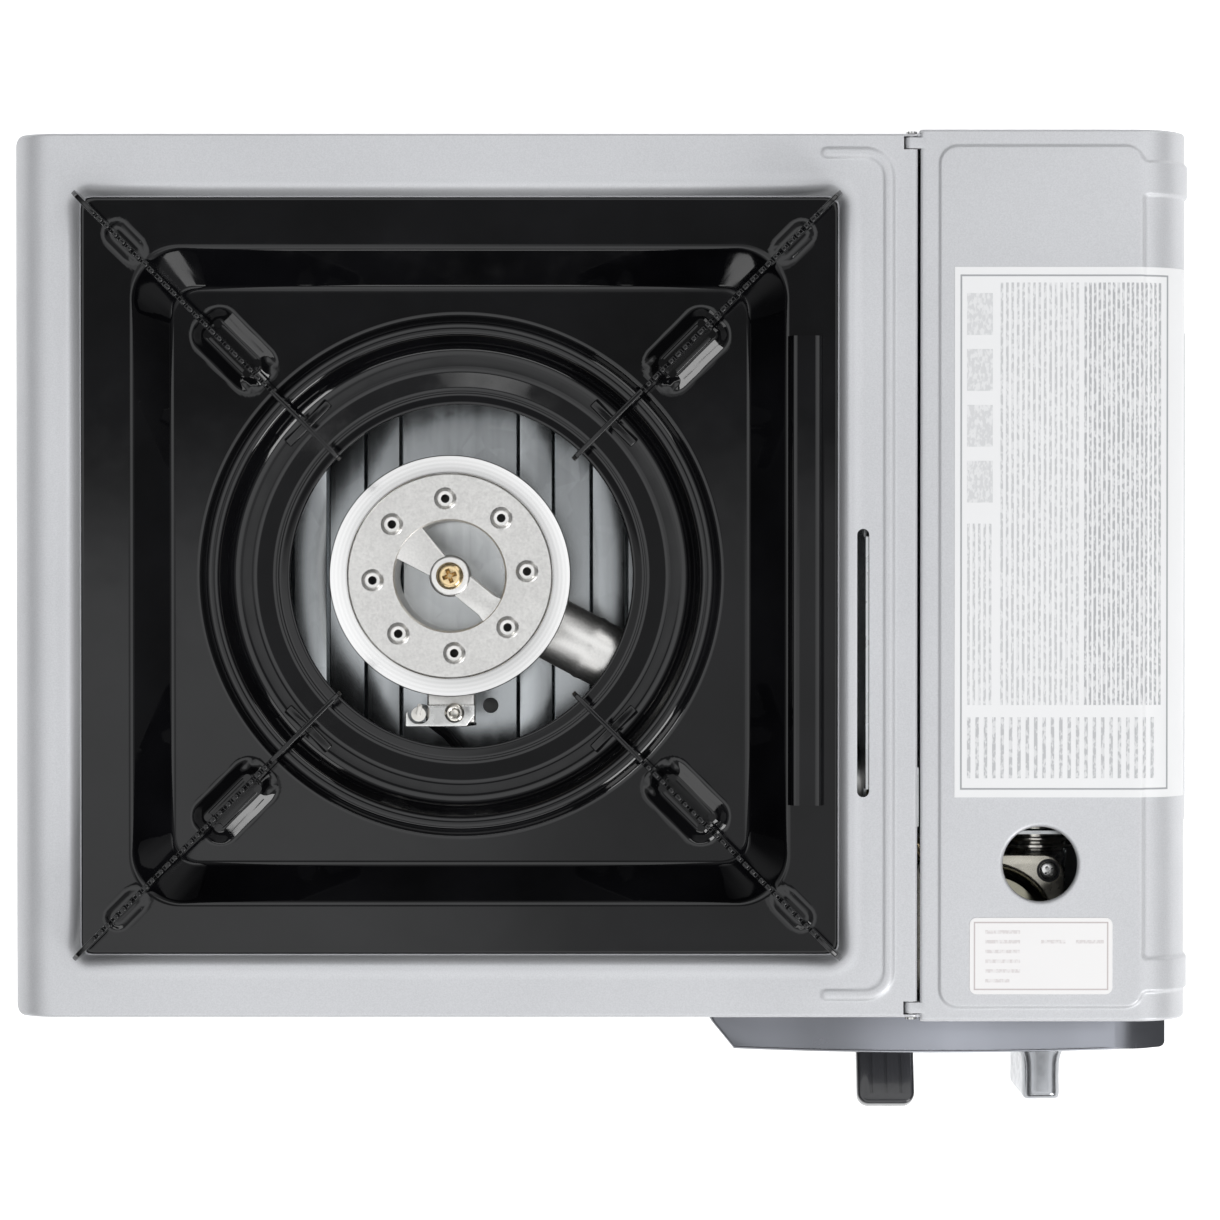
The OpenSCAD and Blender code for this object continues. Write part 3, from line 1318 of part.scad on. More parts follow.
// Side view of a support blade: X is the distance from the pan's middle, Y the height
module blade_outline() {
  top = body_top + blade_rise;
  finger_low = top - finger_h;
  casing_clear = body_top + sit_gap + 0.4;
  corner_top = border_z + corner_pad_h;
  corner_half = corner_pad_l / 2 - 2;
  corner_arch = corner_top + 5;
  pad_top = floor_z + pad_h;
  pad_half = pad_l / 2 - 2;
  leg_half = 1;
  teeth = floor((blade_outer - 8 - finger_r) / tooth_pitch);
  difference() {
    polygon([
      // upper edge, from the inner tip to the outer end
      [blade_inner, top - 1.6],
      [blade_inner + 3, top],
      [blade_outer - 7, top],
      [blade_outer - 1, top - 5],
      [blade_outer, body_top + 2],
      // over the rim of the casing and down to the corner pad
      [blade_outer - 4, casing_clear],
      [blade_outer - 14, casing_clear],
      [corner_pad_radius + corner_half, corner_top],
      [corner_pad_radius - corner_half, corner_top],
      [corner_pad_radius - corner_half - 4, corner_arch],
      // down to the big pad
      [pad_radius + pad_half + 6, corner_arch],
      [pad_radius + pad_half, pad_top],
      [pad_radius - pad_half, pad_top],
      // over the ring bead and down to the inner foot
      [finger_r + 1, floor_z + ring_h + 3],
      [finger_r - 3, finger_low - 3],
      [foot_bar_radius + 4, finger_low],
      [foot_bar_radius + leg_half + 0.5, finger_low - 3],
      [foot_bar_radius + leg_half, gutter_z],
      [foot_bar_radius - leg_half, gutter_z],
      [foot_bar_radius - leg_half - 0.5, finger_low - 3],
      [foot_bar_radius - 4, finger_low],
      [blade_inner + 1, finger_low]
    ]);
    for (k = [1 : teeth]) translate([finger_r + k * tooth_pitch, top + tooth_h * 0.6]) rotate(45)
      square(tooth_h * 1.6, center = true);
  }
}

module support_blade(k) color("black") blade_place(k) difference() {
  union() {
    translate([0, blade_t / 2, 0]) rotate([90, 0, 0]) linear_extrude(blade_t) blade_outline();
    // inner foot in the gutter, and the foot that lies on the pad
    block([foot_bar_radius - foot_bar_w / 2, -foot_bar_l / 2, gutter_z],
      [foot_bar_radius + foot_bar_w / 2, foot_bar_l / 2, gutter_z + blade_t]);
    block([pad_radius - 11, -3.4, floor_z + pad_h], [pad_radius + 11, 3.4, floor_z + pad_h + blade_t]);
  }
  for (p = rivet_places()) translate([p[0], p[1], floor_z])
    cylinder(h = pad_h + blade_t + 1, r = rivet_r + run_gap);
}

module blade_rivets() color("black") for (k = [0 : 3]) blade_place(k) for (p = rivet_places())
  translate([p[0], p[1], floor_z + pad_h]) {
  translate([0, 0, blade_t]) cylinder(h = 0.7, r = 2 * rivet_r);
  translate([0, 0, -pan_t - 0.3]) cylinder(h = pan_t + blade_t + 0.6, r = rivet_r);
  translate([0, 0, -pan_t - 0.5]) cylinder(h = 0.5, r = 1.6 * rivet_r);
}

base_tray();
feet();
tray_screws();
body_shell();
partition();
heat_shield();
burner_stand();
burner_casting();
burner_cap();
burner_screw();
electrode_bracket();
electrode_rivet();
electrode();
ignition_lead();
piezo_igniter();
igniter_plunger();
gas_jet();
regulator_body();
regulator_cover();
regulator_screws();
regulator_bracket();
canister_socket();
canister_guide();
control_panel();
panel_screws();
knob();
valve_stem();
igniter_cam();
lever_handle();
lever_arm();
drive_pin();
pivot_stud();
canister_carriage();
carriage_studs();
canister_spring();
lid();
hinge_pins();
info_label();
small_label();
drip_pan();
support_blade(0);  // support_blade_1
support_blade(1);  // support_blade_2
support_blade(2);  // support_blade_3
support_blade(3);  // support_blade_4
blade_rivets();
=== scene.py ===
import math
import bmesh
import bpy
import numpy as np
from mathutils import Matrix, Vector


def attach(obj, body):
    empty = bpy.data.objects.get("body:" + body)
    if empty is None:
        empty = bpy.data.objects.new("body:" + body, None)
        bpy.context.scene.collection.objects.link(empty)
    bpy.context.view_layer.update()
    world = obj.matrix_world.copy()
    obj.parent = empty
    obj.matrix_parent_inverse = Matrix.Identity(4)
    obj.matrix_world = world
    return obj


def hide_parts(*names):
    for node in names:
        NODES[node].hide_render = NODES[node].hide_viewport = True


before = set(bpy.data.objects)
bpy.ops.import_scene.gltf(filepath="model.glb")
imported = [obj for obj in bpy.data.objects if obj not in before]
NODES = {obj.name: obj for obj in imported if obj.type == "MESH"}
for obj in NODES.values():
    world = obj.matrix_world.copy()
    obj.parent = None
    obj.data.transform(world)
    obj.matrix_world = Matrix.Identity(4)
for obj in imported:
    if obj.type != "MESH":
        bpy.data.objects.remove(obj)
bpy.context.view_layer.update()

MM = 0.001

# ---------- sizes, in millimetres, as in the CAD part ----------
BODY_Y, PAN_X = 15.0, -41.2
X_LEFT, CASING_X, LID_X, LID_SIDE_X = -170.0, 89.8, 91.8, 169.2
Y_FRONT, Y_BACK = -113.0, 143.0
WALL_FRONT, WALL_BACK = -111.8, 141.8
TOP, CASING_BOTTOM, SHEET = 84.0, 6.8, 0.8
SIDE_BEND, LID_BEND, RAISE = 13.0, 16.0, 0.8
LID_FLAT = LID_SIDE_X - LID_BEND
FLOOR_Z, BORDER_Z, GUTTER_Z, FLOOR_HALF = 71.8, 79.8, 68.8, 83.6
BURNER_X, CAP_Z, BURNER_TOP = -44.2, 72.0, 75.0
GAS_X, GAS_Z = 129.0, 43.0
REG_X, REG_Y = 113.3, -88.4
VIEW_X, VIEW_Y, VIEW_R = 125.6, -67.7, 10.7
PANEL_X0, PANEL_X1, PANEL_Z0, PANEL_Z1 = 30.6, 164.2, 14.0, 72.0
HINGE_X, HINGE_Z, EAR_YS = 88.7, 81.8, (-110.7, 137.5)
SCREW_XS, SCREW_Z, SCREW_R = (46.6, 155.2), 28, 1.55
CORNERS = (45, 135, 225, 315)

# ---------- camera: above the stove, leaning a little to the front ----------
camera_data = bpy.data.cameras.new("camera")
camera_data.lens = 102.89
camera_data.sensor_width = 36.0
camera_data.clip_start, camera_data.clip_end = 0.05, 20
camera = bpy.data.objects.new("camera", camera_data)
bpy.context.scene.collection.objects.link(camera)
eye, aim = Vector((0.00221, 0.01538, 1.084)), Vector((0.00217, 0.00523, 0.084))
back = (eye - aim).normalized()
right = Vector((0, 1, 0)).cross(back).normalized()
up = back.cross(right)
camera.matrix_world = Matrix((right, up, back)).transposed().to_4x4()
camera.matrix_world.translation = eye
bpy.context.scene.camera = camera
bpy.context.scene.view_settings.view_transform = "Standard"

# ---------- materials ----------


class Nodes:
    """Adds and links the nodes of one material or world."""

    def __init__(self, tree):
        self.tree = tree

    def node(self, kind, **values):
        made = self.tree.nodes.new("ShaderNode" + kind)
        for key, value in values.items():
            setattr(made, key, value)
        return made

    def put(self, value, socket):
        """Links a node's output to the socket, or writes a plain number there."""
        if isinstance(value, (int, float)):
            socket.default_value = value
        elif isinstance(value, tuple):
            socket.default_value = (*value, 1)
        else:
            self.tree.links.new(value, socket)

    def ramp(self, value, low, high, out0=0.0, out1=1.0, **values):
        made = self.node("MapRange", **values)
        for key, number in (("From Min", low), ("From Max", high), ("To Min", out0), ("To Max", out1)):
            made.inputs[key].default_value = number
        self.put(value, made.inputs["Value"])
        return made.outputs["Result"]

    def math(self, operation, *terms):
        made = self.node("Math", operation=operation)
        for socket, term in zip(made.inputs, terms):
            self.put(term, socket)
        return made.outputs["Value"]

    def mix(self, share, a, b, kind="RGBA"):
        made = self.node("Mix", data_type=kind)
        ends = {socket.name: socket for socket in made.inputs if socket.enabled}
        for key, value in (("Factor", share), ("A", a), ("B", b)):
            self.put(value, ends[key])
        return [socket for socket in made.outputs if socket.enabled][0]

    def split(self, vector):
        parts = self.node("SeparateXYZ")
        self.put(vector, parts.inputs[0])
        return parts.outputs


class Shader(Nodes):
    """A principled material whose nodes read the object's own coordinates."""

    def __init__(self, name, colour, rough, metallic=0.0, **sockets):
        self.mat = bpy.data.materials.new(name)
        self.mat.use_nodes = True
        super().__init__(self.mat.node_tree)
        self.base = colour
        self.bsdf = self.tree.nodes["Principled BSDF"]
        self.bsdf.inputs["Base Color"].default_value = (*colour, 1)
        self.bsdf.inputs["Roughness"].default_value = rough
        self.bsdf.inputs["Metallic"].default_value = metallic
        for key, value in sockets.items():
            self.bsdf.inputs[key.replace("_", " ")].default_value = value
        self.coords = self.node("TexCoord").outputs["Object"]
        self.bump_normal = None

    def stretched(self, scale):
        made = self.node("Mapping")
        made.inputs["Scale"].default_value = scale
        self.put(self.coords, made.inputs["Vector"])
        return made.outputs["Vector"]

    def noise(self, scale, detail=2.0, stretch=(1, 1, 1)):
        made = self.node("TexNoise")
        made.inputs["Scale"].default_value = scale
        made.inputs["Detail"].default_value = detail
        made.inputs["Roughness"].default_value = 0.5
        self.put(self.stretched(stretch), made.inputs["Vector"])
        return made.outputs["Fac"]

    def colour(self, output):
        self.put(output, self.bsdf.inputs["Base Color"])

    def tones(self, share, dark, light):
        """Colour between a darker and a lighter tone of the material's own."""
        ends = [tuple(c * factor for c in self.base) for factor in (dark, light)]
        self.colour(self.mix(share, *ends))

    def weighted(self, *terms):
        """Sum of node outputs, each times its weight."""
        total = 0.0
        for output, weight in terms:
            total = self.math("ADD", total, self.math("MULTIPLY", output, weight))
        return total

    def rough(self, value, out0, out1, low=0.3, high=0.7):
        """Roughness from out0 to out1 while the value goes from low to high."""
        self.put(self.ramp(value, low, high, out0, out1), self.bsdf.inputs["Roughness"])

    def bump(self, height, distance_mm, strength=1.0):
        made = self.node("Bump")
        made.inputs["Strength"].default_value = strength
        made.inputs["Distance"].default_value = distance_mm * MM
        self.put(height, made.inputs["Height"])
        if self.bump_normal is not None:
            self.put(self.bump_normal, made.inputs["Normal"])
        self.bump_normal = made.outputs["Normal"]
        self.put(self.bump_normal, self.bsdf.inputs["Normal"])


def paint(name, colour, rough, metallic):
    """Sprayed metallic paint: fine flakes, a little orange peel and faint cloudy tone."""
    s = Shader(name, colour, rough, metallic, Coat_Weight=0.12, Coat_Roughness=0.25)
    flake = s.ramp(s.noise(2600, 1.0), 0.3, 0.7, -0.05, 0.05)
    cloud = s.ramp(s.noise(14, 3.0), 0.3, 0.7, 0.97, 1.03)
    s.tones(s.math("SUBTRACT", s.math("ADD", flake, cloud), 0.5), 0.5, 1.5)
    s.rough(s.noise(90, 3.0), rough - 0.03, rough + 0.04)
    s.bump(s.noise(900, 2.0), 0.012, 0.5)
    return s.mat


def enamel(name, dull=0.0):
    """Vitreous black enamel: wet gloss, slight waves and tiny specks."""
    s = Shader(name, (0.003, 0.003, 0.004), 0.05)
    s.colour(s.mix(s.ramp(s.noise(35, 4.0), 0.35, 0.7), (0.002, 0.002, 0.0025), (0.005, 0.005, 0.006)))
    s.rough(s.noise(120, 4.0), 0.03 + dull, 0.10 + dull, 0.35, 0.75)
    s.bump(s.noise(45, 2.0), 0.10, 0.3)
    return s.mat


def sheet_metal(name, colour, rough, low=0.55, wide=28):
    """Galvanised sheet: soft spangle patches, fine rolling streaks along Y, and wide bands of painted
    reflection along Y.
    """
    s = Shader(name, colour, rough, 1.0)
    spangle = s.node("TexVoronoi", feature="F1")
    spangle.inputs["Scale"].default_value = 160
    s.put(s.stretched((1, 1, 1)), spangle.inputs["Vector"])
    patch = s.ramp(spangle.outputs["Color"], 0.0, 1.0)
    # the wide bands along Y are painted reflection: soft dark and bright stripes in the colour
    fine, painted_reflection_bands = s.noise(260, 4.0, (1, 0.05, 1)), s.noise(wide, 3.0, (1, 0.05, 1))
    tone = s.weighted((patch, 0.12), (fine, 0.33), (painted_reflection_bands, 0.55))
    s.tones(s.ramp(tone, 0.34, 0.66), low, 1.08)
    s.rough(tone, rough - 0.05, rough + 0.08)
    s.bump(fine, 0.012, 0.25)
    return s.mat


def plated(name, colour, rough, scale=500):
    """Plated or polished metal with faint wear."""
    s = Shader(name, colour, rough, 1.0)
    worn = s.noise(scale, 3.0)
    s.tones(s.ramp(worn, 0.35, 0.7), 0.85, 1.0)
    s.rough(worn, rough - 0.06, rough + 0.08)
    s.bump(worn, 0.01, 0.3)
    return s.mat


def plastic(name, colour, rough, grain=0.015, scale=1500, metallic=0.0, **sockets):
    """Moulded plastic, rubber or ceramic with a fine grain."""
    s = Shader(name, colour, rough, metallic, **sockets)
    fine = s.noise(scale, 2.0)
    s.tones(s.ramp(s.noise(60, 3.0), 0.3, 0.7), 0.85, 1.15)
    s.rough(fine, rough - 0.05, rough + 0.07)
    s.bump(fine, grain, 0.6)
    return s.mat


def panel_plastic_with_painted_shade(name, colour):
    """Metallised gloss plastic with soft upright streaks of painted shade, and painted shade that darkens it
    towards both ends.
    """
    s = Shader(name, colour, 0.2, 0.8, Coat_Weight=0.4, Coat_Roughness=0.06)
    # painted shade: soft upright streaks of lighter and darker tone across the panel
    painted_shade_streaks = s.ramp(s.noise(30, 2.0, (1, 0.2, 0.2)), 0.3, 0.7, -0.12, 0.12)
    x = s.split(s.coords)[0]
    # painted shade: the colour darkens over the left part and again at the right end
    left = s.ramp(x, 0.066, 0.1, 0.0, 0.55)
    painted_shade_right_end = s.ramp(x, 0.1485, 0.1525, 0.0, 0.55)
    s.tones(s.math("SUBTRACT", s.math("ADD", left, painted_shade_streaks), painted_shade_right_end), 0.4, 1.45)
    s.rough(s.noise(80, 3.0), 0.14, 0.28)
    s.bump(s.noise(70, 2.0), 0.06, 0.25)
    return s.mat


def sand_cast(name, colour, rough):
    """Shot-blasted aluminium with fine pits."""
    s = Shader(name, colour, rough, 1.0)
    pits, cloud = s.noise(1400, 3.0), s.noise(60, 3.0)
    s.tones(s.ramp(s.weighted((pits, 0.6), (cloud, 0.4)), 0.35, 0.65), 0.9, 1.06)
    s.rough(pits, rough - 0.06, rough + 0.06)
    s.bump(pits, 0.025, 0.4)
    return s.mat


def turned(name, colour, rough, centre):
    """Lathe-turned metal: fine rings round centre, and a painted highlight across one diameter."""
    s = Shader(name, colour, rough, 1.0)
    place = s.node("VectorMath", operation="SUBTRACT")
    s.put(s.coords, place.inputs[0])
    place.inputs[1].default_value = (centre[0] * MM, centre[1] * MM, 0)
    x, y, _ = s.split(place.outputs[0])
    radius = s.math("SQRT", s.math("ADD", s.math("MULTIPLY", x, x), s.math("MULTIPLY", y, y)))
    rings = s.math("SINE", s.math("MULTIPLY", radius, 5200.0))
    # painted highlight: the colour is brighter across one diameter, as a glint on the turned rings
    glint = s.math("SINE", s.math("ADD", s.math("MULTIPLY", s.math("ARCTAN2", y, x), 2.0), 0.9))
    tone = s.weighted((rings, 0.12), (glint, 0.45))
    s.tones(s.ramp(tone, -0.6, 0.6), 0.8, 1.08)
    s.rough(tone, rough - 0.03, rough + 0.05, -0.6, 0.6)
    s.bump(rings, 0.004, 0.25)
    return s.mat


GLOSS = {"Coat_Weight": 0.4, "Coat_Roughness": 0.08}
MAT = {
    "silver_paint": paint("silver_paint", (0.655, 0.66, 0.68), 0.44, 0.3),
    "galvanised": sheet_metal("galvanised", (0.74, 0.76, 0.77), 0.22, 0.7),
    "tray_sheet": sheet_metal("tray_sheet", (0.67, 0.70, 0.72), 0.17, 0.74, 20),
    "black_enamel": enamel("black_enamel"),
    "cast_aluminium": sand_cast("cast_aluminium", (0.76, 0.75, 0.73), 0.38),
    "turned_aluminium": turned("turned_aluminium", (0.73, 0.725, 0.72), 0.22, (BURNER_X, BODY_Y)),
    "brass": plated("brass", (0.80, 0.62, 0.36), 0.24),
    "nickel": plated("nickel", (0.84, 0.81, 0.75), 0.18),
    "zinc_plated": plated("zinc_plated", (0.72, 0.72, 0.71), 0.24),
    "black_plastic": plastic("black_plastic", (0.024, 0.024, 0.027), 0.2, 0.004, 700, **GLOSS),
    "panel_plastic": panel_plastic_with_painted_shade("panel_plastic", (0.285, 0.295, 0.33)),
    "warm_plate": plated("warm_plate", (0.66, 0.63, 0.55), 0.26, 300),
    "dark_plate": plated("dark_plate", (0.24, 0.23, 0.18), 0.16, 300),
    "knob_plastic": plastic("knob_plastic", (0.40, 0.41, 0.43), 0.2, 0.004, 700, 0.8),
    "white_plastic": plastic("white_plastic", (0.78, 0.78, 0.76), 0.4),
    "ceramic": plastic("ceramic", (0.82, 0.80, 0.76), 0.18, 0.01, 400),
    "black_rubber": plastic("black_rubber", (0.018, 0.018, 0.02), 0.55),
}

# ---------- mesh helpers ----------


def add(name, verts, faces, body, slot, node="", smooth=40, material=None):
    """Makes a piece from points in millimetres and puts it on its body. Cutters have no body."""
    mesh = bpy.data.meshes.new(name)
    mesh.from_pydata((np.asarray(verts, float) * MM).tolist(), [], [list(map(int, f)) for f in faces])
    mesh.validate()
    piece = bpy.data.objects.new(name, mesh)
    bpy.context.scene.collection.objects.link(piece)
    piece.data.materials.append(material or MAT[slot])
    shade(piece, smooth)
    if body:
        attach(piece, body)
    if node:
        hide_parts(node)
    return piece


def shade(piece, smooth):
    """Smooth shading, with sharp edges above an angle in degrees."""
    mesh = piece.data
    mesh.polygons.foreach_set("use_smooth", [True] * len(mesh.polygons))
    mesh.set_sharp_from_angle(angle=math.radians(smooth))


def bake(piece, smooth):
    """Replaces the mesh by its result after the modifiers."""
    bpy.context.view_layer.update()
    result = bpy.data.meshes.new_from_object(piece.evaluated_get(bpy.context.evaluated_depsgraph_get()))
    piece.modifiers.clear()
    piece.data = result
    shade(piece, smooth)
    return piece


def thicken(piece, thickness, smooth):
    """Gives a surface its thickness on the side away from its normals."""
    mod = piece.modifiers.new("sheet", "SOLIDIFY")
    mod.thickness, mod.offset, mod.use_even_offset = thickness * MM, -1, True
    return bake(piece, smooth)


def bevel(piece, width, segments, smooth):
    mod = piece.modifiers.new("bevel", "BEVEL")
    mod.width, mod.segments, mod.limit_method = width * MM, segments, "ANGLE"
    mod.angle_limit = math.radians(30)
    mod.miter_outer = "MITER_ARC"
    return bake(piece, smooth)


def carve(piece, cutters, operation="DIFFERENCE", smooth=40):
    """Cuts the cutters out of the piece, or joins them to it."""
    for cutter in cutters:
        mod = piece.modifiers.new("carve", "BOOLEAN")
        mod.operation, mod.solver, mod.object = operation, "MANIFOLD", cutter
    bake(piece, smooth)
    for cutter in cutters:
        bpy.data.objects.remove(cutter)
    return piece


def tidy_normals(piece, merge=False):
    """Turns all faces outwards, after joining the points that coincide."""
    work = bmesh.new()
    work.from_mesh(piece.data)
    if merge:
        bmesh.ops.remove_doubles(work, verts=work.verts, dist=1e-7)
    bmesh.ops.recalc_face_normals(work, faces=work.faces)
    work.to_mesh(piece.data)
    work.free()


def one_material(piece, material):
    piece.data.materials.clear()
    piece.data.materials.append(material)


def loft(rings, closed=True, cap_start=False, cap_end=False):
    """Quads between rings of equally many points."""
    rings = np.asarray(rings, float)
    k, n = rings.shape[:2]
    faces = []
    for a in range(0, (k - 1) * n, n):
        for i in range(n if closed else n - 1):
            j = (i + 1) % n
            faces.append([a + i, a + j, a + n + j, a + n + i])
    if cap_start:
        faces.append(list(range(n))[::-1])
    if cap_end:
        faces.append([(k - 1) * n + i for i in range(n)])
    return rings.reshape(-1, 3), faces


def ring(x, y, z):
    """Points from three coordinates, each an array or one number for all."""
    return np.stack(np.broadcast_arrays(x, y, z), 1)


def layer(points, height, axis="Z"):
    """The points of an outline at one height along Z, or along Y."""
    u, v = np.asarray(points, float).T
    return ring(u, v, height) if axis == "Z" else ring(u, height, v)


def fillet(points, radius, steps=5):
    """Rounds the inner corners of an open path by arcs of about this radius."""
    p = np.asarray(points, float)
    out = [p[0]]
    for a, b, c in zip(p[:-2], p[1:-1], p[2:]):
        u, v = a - b, c - b
        lu, lv = np.linalg.norm(u), np.linalg.norm(v)
        cut = min(radius, lu * 0.45, lv * 0.45)
        p0, p1 = b + u / lu * cut, b + v / lv * cut
        for t in np.linspace(0, 1, steps):
            out.append((1 - t) ** 2 * p0 + 2 * t * (1 - t) * b + t * t * p1)
    out.append(p[-1])
    return np.array(out)


def sd_rect(x, y, x0, x1, y0, y1, r):
    """Signed distance to a rounded rectangle, negative inside."""
    qx = np.abs(x - (x0 + x1) / 2) - (x1 - x0) / 2 + r
    qy = np.abs(y - (y0 + y1) / 2) - (y1 - y0) / 2 + r
    return np.hypot(np.maximum(qx, 0), np.maximum(qy, 0)) + np.minimum(np.maximum(qx, qy), 0) - r


def step(t):
    """Soft step from 0 to 1."""
    t = np.clip(t, 0, 1)
    return t * t * (3 - 2 * t)


def rays(angles, x0, x1, y0, y1, r):
    """Points where rays from the pan's middle meet a rounded rectangle."""
    c, s = np.cos(angles), np.sin(angles)
    low, high = np.zeros_like(angles), np.full_like(angles, 400.0)
    for _ in range(46):
        mid = (low + high) / 2
        inside = sd_rect(PAN_X + c * mid, BODY_Y + s * mid, x0, x1, y0, y1, r) < 0
        low, high = np.where(inside, mid, low), np.where(inside, high, mid)
    return PAN_X + c * low, BODY_Y + s * low


def square(angles, half, r):
    """Points on a rounded square round the pan's middle."""
    return rays(angles, PAN_X - half, PAN_X + half, BODY_Y - half, BODY_Y + half, r)


def apart(values, gap):
    """The values in order, without those that hardly differ from the one before."""
    kept = []
    for value in sorted(values):
        if not kept or value - kept[-1] > gap:
            kept.append(value)
    return np.array(kept)


def angle_list(pitch, dense):
    """Angles all round in degrees, with closer ones round each (centre, reach, pitch)."""
    found = set(np.round(np.arange(0, 360, pitch), 4))
    for centre, reach, fine in dense:
        found -= {a for a in found if abs((a - centre + 180) % 360 - 180) < reach}
        found |= set(np.round(np.arange(centre - reach, centre + reach + 1e-6, fine) % 360, 4))
    return np.radians(apart(found, 0.04))


def lines(spans):
    """Sorted grid lines from spans of (start, end, pitch)."""
    found = []
    for start, end, pitch in spans:
        found += list(np.linspace(start, end, max(int(round((end - start) / pitch)), 1) + 1))
    return apart(found, 1e-4)


def chain(start, *stops):
    """Grid lines from start on, by stops of (end, pitch)."""
    starts = [start] + [end for end, _ in stops]
    return lines([(a, end, pitch) for a, (end, pitch) in zip(starts, stops)])


def circle(cx, cy, r, n=64, start=0.0, turn=360.0):
    a = np.radians(start + np.arange(n) * turn / n)
    return np.stack([cx + r * np.cos(a), cy + r * np.sin(a)], 1)


def rounded(x0, x1, y0, y1, r, steps=7):
    """Outline of a rounded rectangle."""
    out = []
    corners = ((x1 - r, y0 + r), (x1 - r, y1 - r), (x0 + r, y1 - r), (x0 + r, y0 + r))
    for (cx, cy), start in zip(corners, (270, 0, 90, 180)):
        for a in np.radians(np.linspace(start, start + 90, steps)):
            out.append((cx + r * math.cos(a), cy + r * math.sin(a)))
    return out


def oblique(centre, degrees, points):
    """Outline from points given along and across a direction through centre."""
    a = math.radians(degrees)
    along, across = np.array([math.cos(a), math.sin(a)]), np.array([-math.sin(a), math.cos(a)])
    return [np.array(centre) + along * u + across * v for u, v in points]


def pressed(name, rows, body, slot, node="", smooth=50, closed=False, thick=SHEET, material=None):
    """A surface through rows of points, turned face up and thickened below."""
    verts, faces = loft(rows, closed)
    piece = add(name, verts, faces, body, slot, node, smooth, material)
    tidy_normals(piece)
    if sum(p.normal.z * p.area for p in piece.data.polygons) < 0:
        piece.data.flip_normals()
    return thicken(piece, thick, smooth)


def solid(name, rings, body=None, slot="zinc_plated", node="", smooth=40, material=None):
    """A form through rings of points, with a face over both ends."""
    verts, faces = loft(rings, True, True, True)
    piece = add(name, verts, faces, body, slot, node, smooth, material)
    tidy_normals(piece)
    return piece


def prism(name, outline, h0, h1, body=None, slot="zinc_plated", node="", width=0.0, segments=3, axis="Z",
          smooth=35, material=None):
    """An outline extruded from h0 to h1 along Z or Y, with bevelled edges."""
    piece = solid(name, [layer(outline, h, axis) for h in (h0, h1)], body, slot, node, smooth, material)
    return bevel(piece, width, segments, smooth) if width else piece


def spin(name, profile, centre, body=None, slot="zinc_plated", node="", n=96, smooth=35, axis="Z",
         closed=False, material=None):
    """Turns a profile of (radius, height) round an axis along Z or Y through centre."""
    rings = [layer(circle(*centre, r, n), h, axis) for r, h in profile]
    if closed:
        rings.append(rings[0])
    caps = [not closed and profile[k][0] > 0 for k in (0, -1)]
    verts, faces = loft(rings, True, *caps)
    piece = add(name, verts, faces, body, slot, node, smooth, material)
    tidy_normals(piece, merge=True)
    shade(piece, smooth)
    return piece


def box(name, a, b, body=None, slot="zinc_plated", node="", width=0.0):
    x0, y0, z0 = a
    x1, y1, z1 = b
    return prism(name, [(x0, y0), (x1, y0), (x1, y1), (x0, y1)], z0, z1, body, slot, node, width)


def rod(name, centre, r, h0, h1, axis="Z", n=48):
    """A plain cylinder used as a cutter."""
    return spin(name, [(r, h0), (r, h1)], centre, axis=axis, n=n)

# ---------- body shell ----------
BEAD_X, BEAD_Y0, BEAD_Y1, BEAD_R, BEAD_END = 82.2, -105.3, 136.2, 7.0, 64.2
BEAD_HALF, BEAD_H = 1.8, 0.8
BEAD_ARC = (BEAD_HALF ** 2 + BEAD_H ** 2) / (2 * BEAD_H)
SHELL_EDGE, SHELL_FOLD = 90.4, 1.0
SLOT_LENGTH, SLOT_WIDTH = 77.0, 3.5
# the lip of the recess and its floor under the pan, as half width and drop below the skin
LIP = [(116.0, 0.0), (115.2, -0.04), (114.4, -0.16), (113.7, -0.28), (113.0, -0.3), (112.3, -0.22),
       (111.7, -0.02), (111.2, 0.3), (110.75, 0.75), (110.4, 1.4), (110.05, 2.2), (109.75, 3.2),
       (109.5, 4.3), (109.4, 5.0), (106.0, 5.0), (101.0, 5.0), (100.4, 5.1)]


def casing_height(x):
    """Height of the casing's skin: flat, then bent down on the left."""
    t = np.clip((X_LEFT + SIDE_BEND - x) / SIDE_BEND, 0, 1)
    return TOP - SIDE_BEND + SIDE_BEND * np.sqrt(1 - t * t)


def bead_distance(x, y):
    """Distance to the middle line of the bead beside the pan."""
    turn = BEAD_X - BEAD_R
    far = (BEAD_Y1 - BEAD_Y0) / 2
    away = np.abs(y - (BEAD_Y0 + BEAD_Y1) / 2)
    straight = np.abs(x - BEAD_X)
    corner = np.abs(np.hypot(x - turn, away - (far - BEAD_R)) - BEAD_R)
    leg = np.abs(away - far)
    tip = np.hypot(x - BEAD_END, away - far)
    d = np.where(away < far - BEAD_R, straight, np.where(x > turn, corner, leg))
    return np.where(x < BEAD_END, np.minimum(tip, 9.0), d)


def shell_height(x, y):
    """The casing's skin with its bead, folded down at the front, the back and the seam."""
    d = bead_distance(x, y)
    bead = np.sqrt(np.maximum(BEAD_ARC ** 2 - d ** 2, 0)) - (BEAD_ARC - BEAD_H)
    bead = np.where(d < BEAD_HALF, np.maximum(bead, 0), 0)
    near = np.minimum(np.minimum(y - WALL_FRONT, WALL_BACK - y), SHELL_EDGE - x)
    fold = np.clip(1 - near / SHELL_FOLD, 0, 1)
    return casing_height(x) + bead - (1 - np.sqrt(1 - fold * fold))


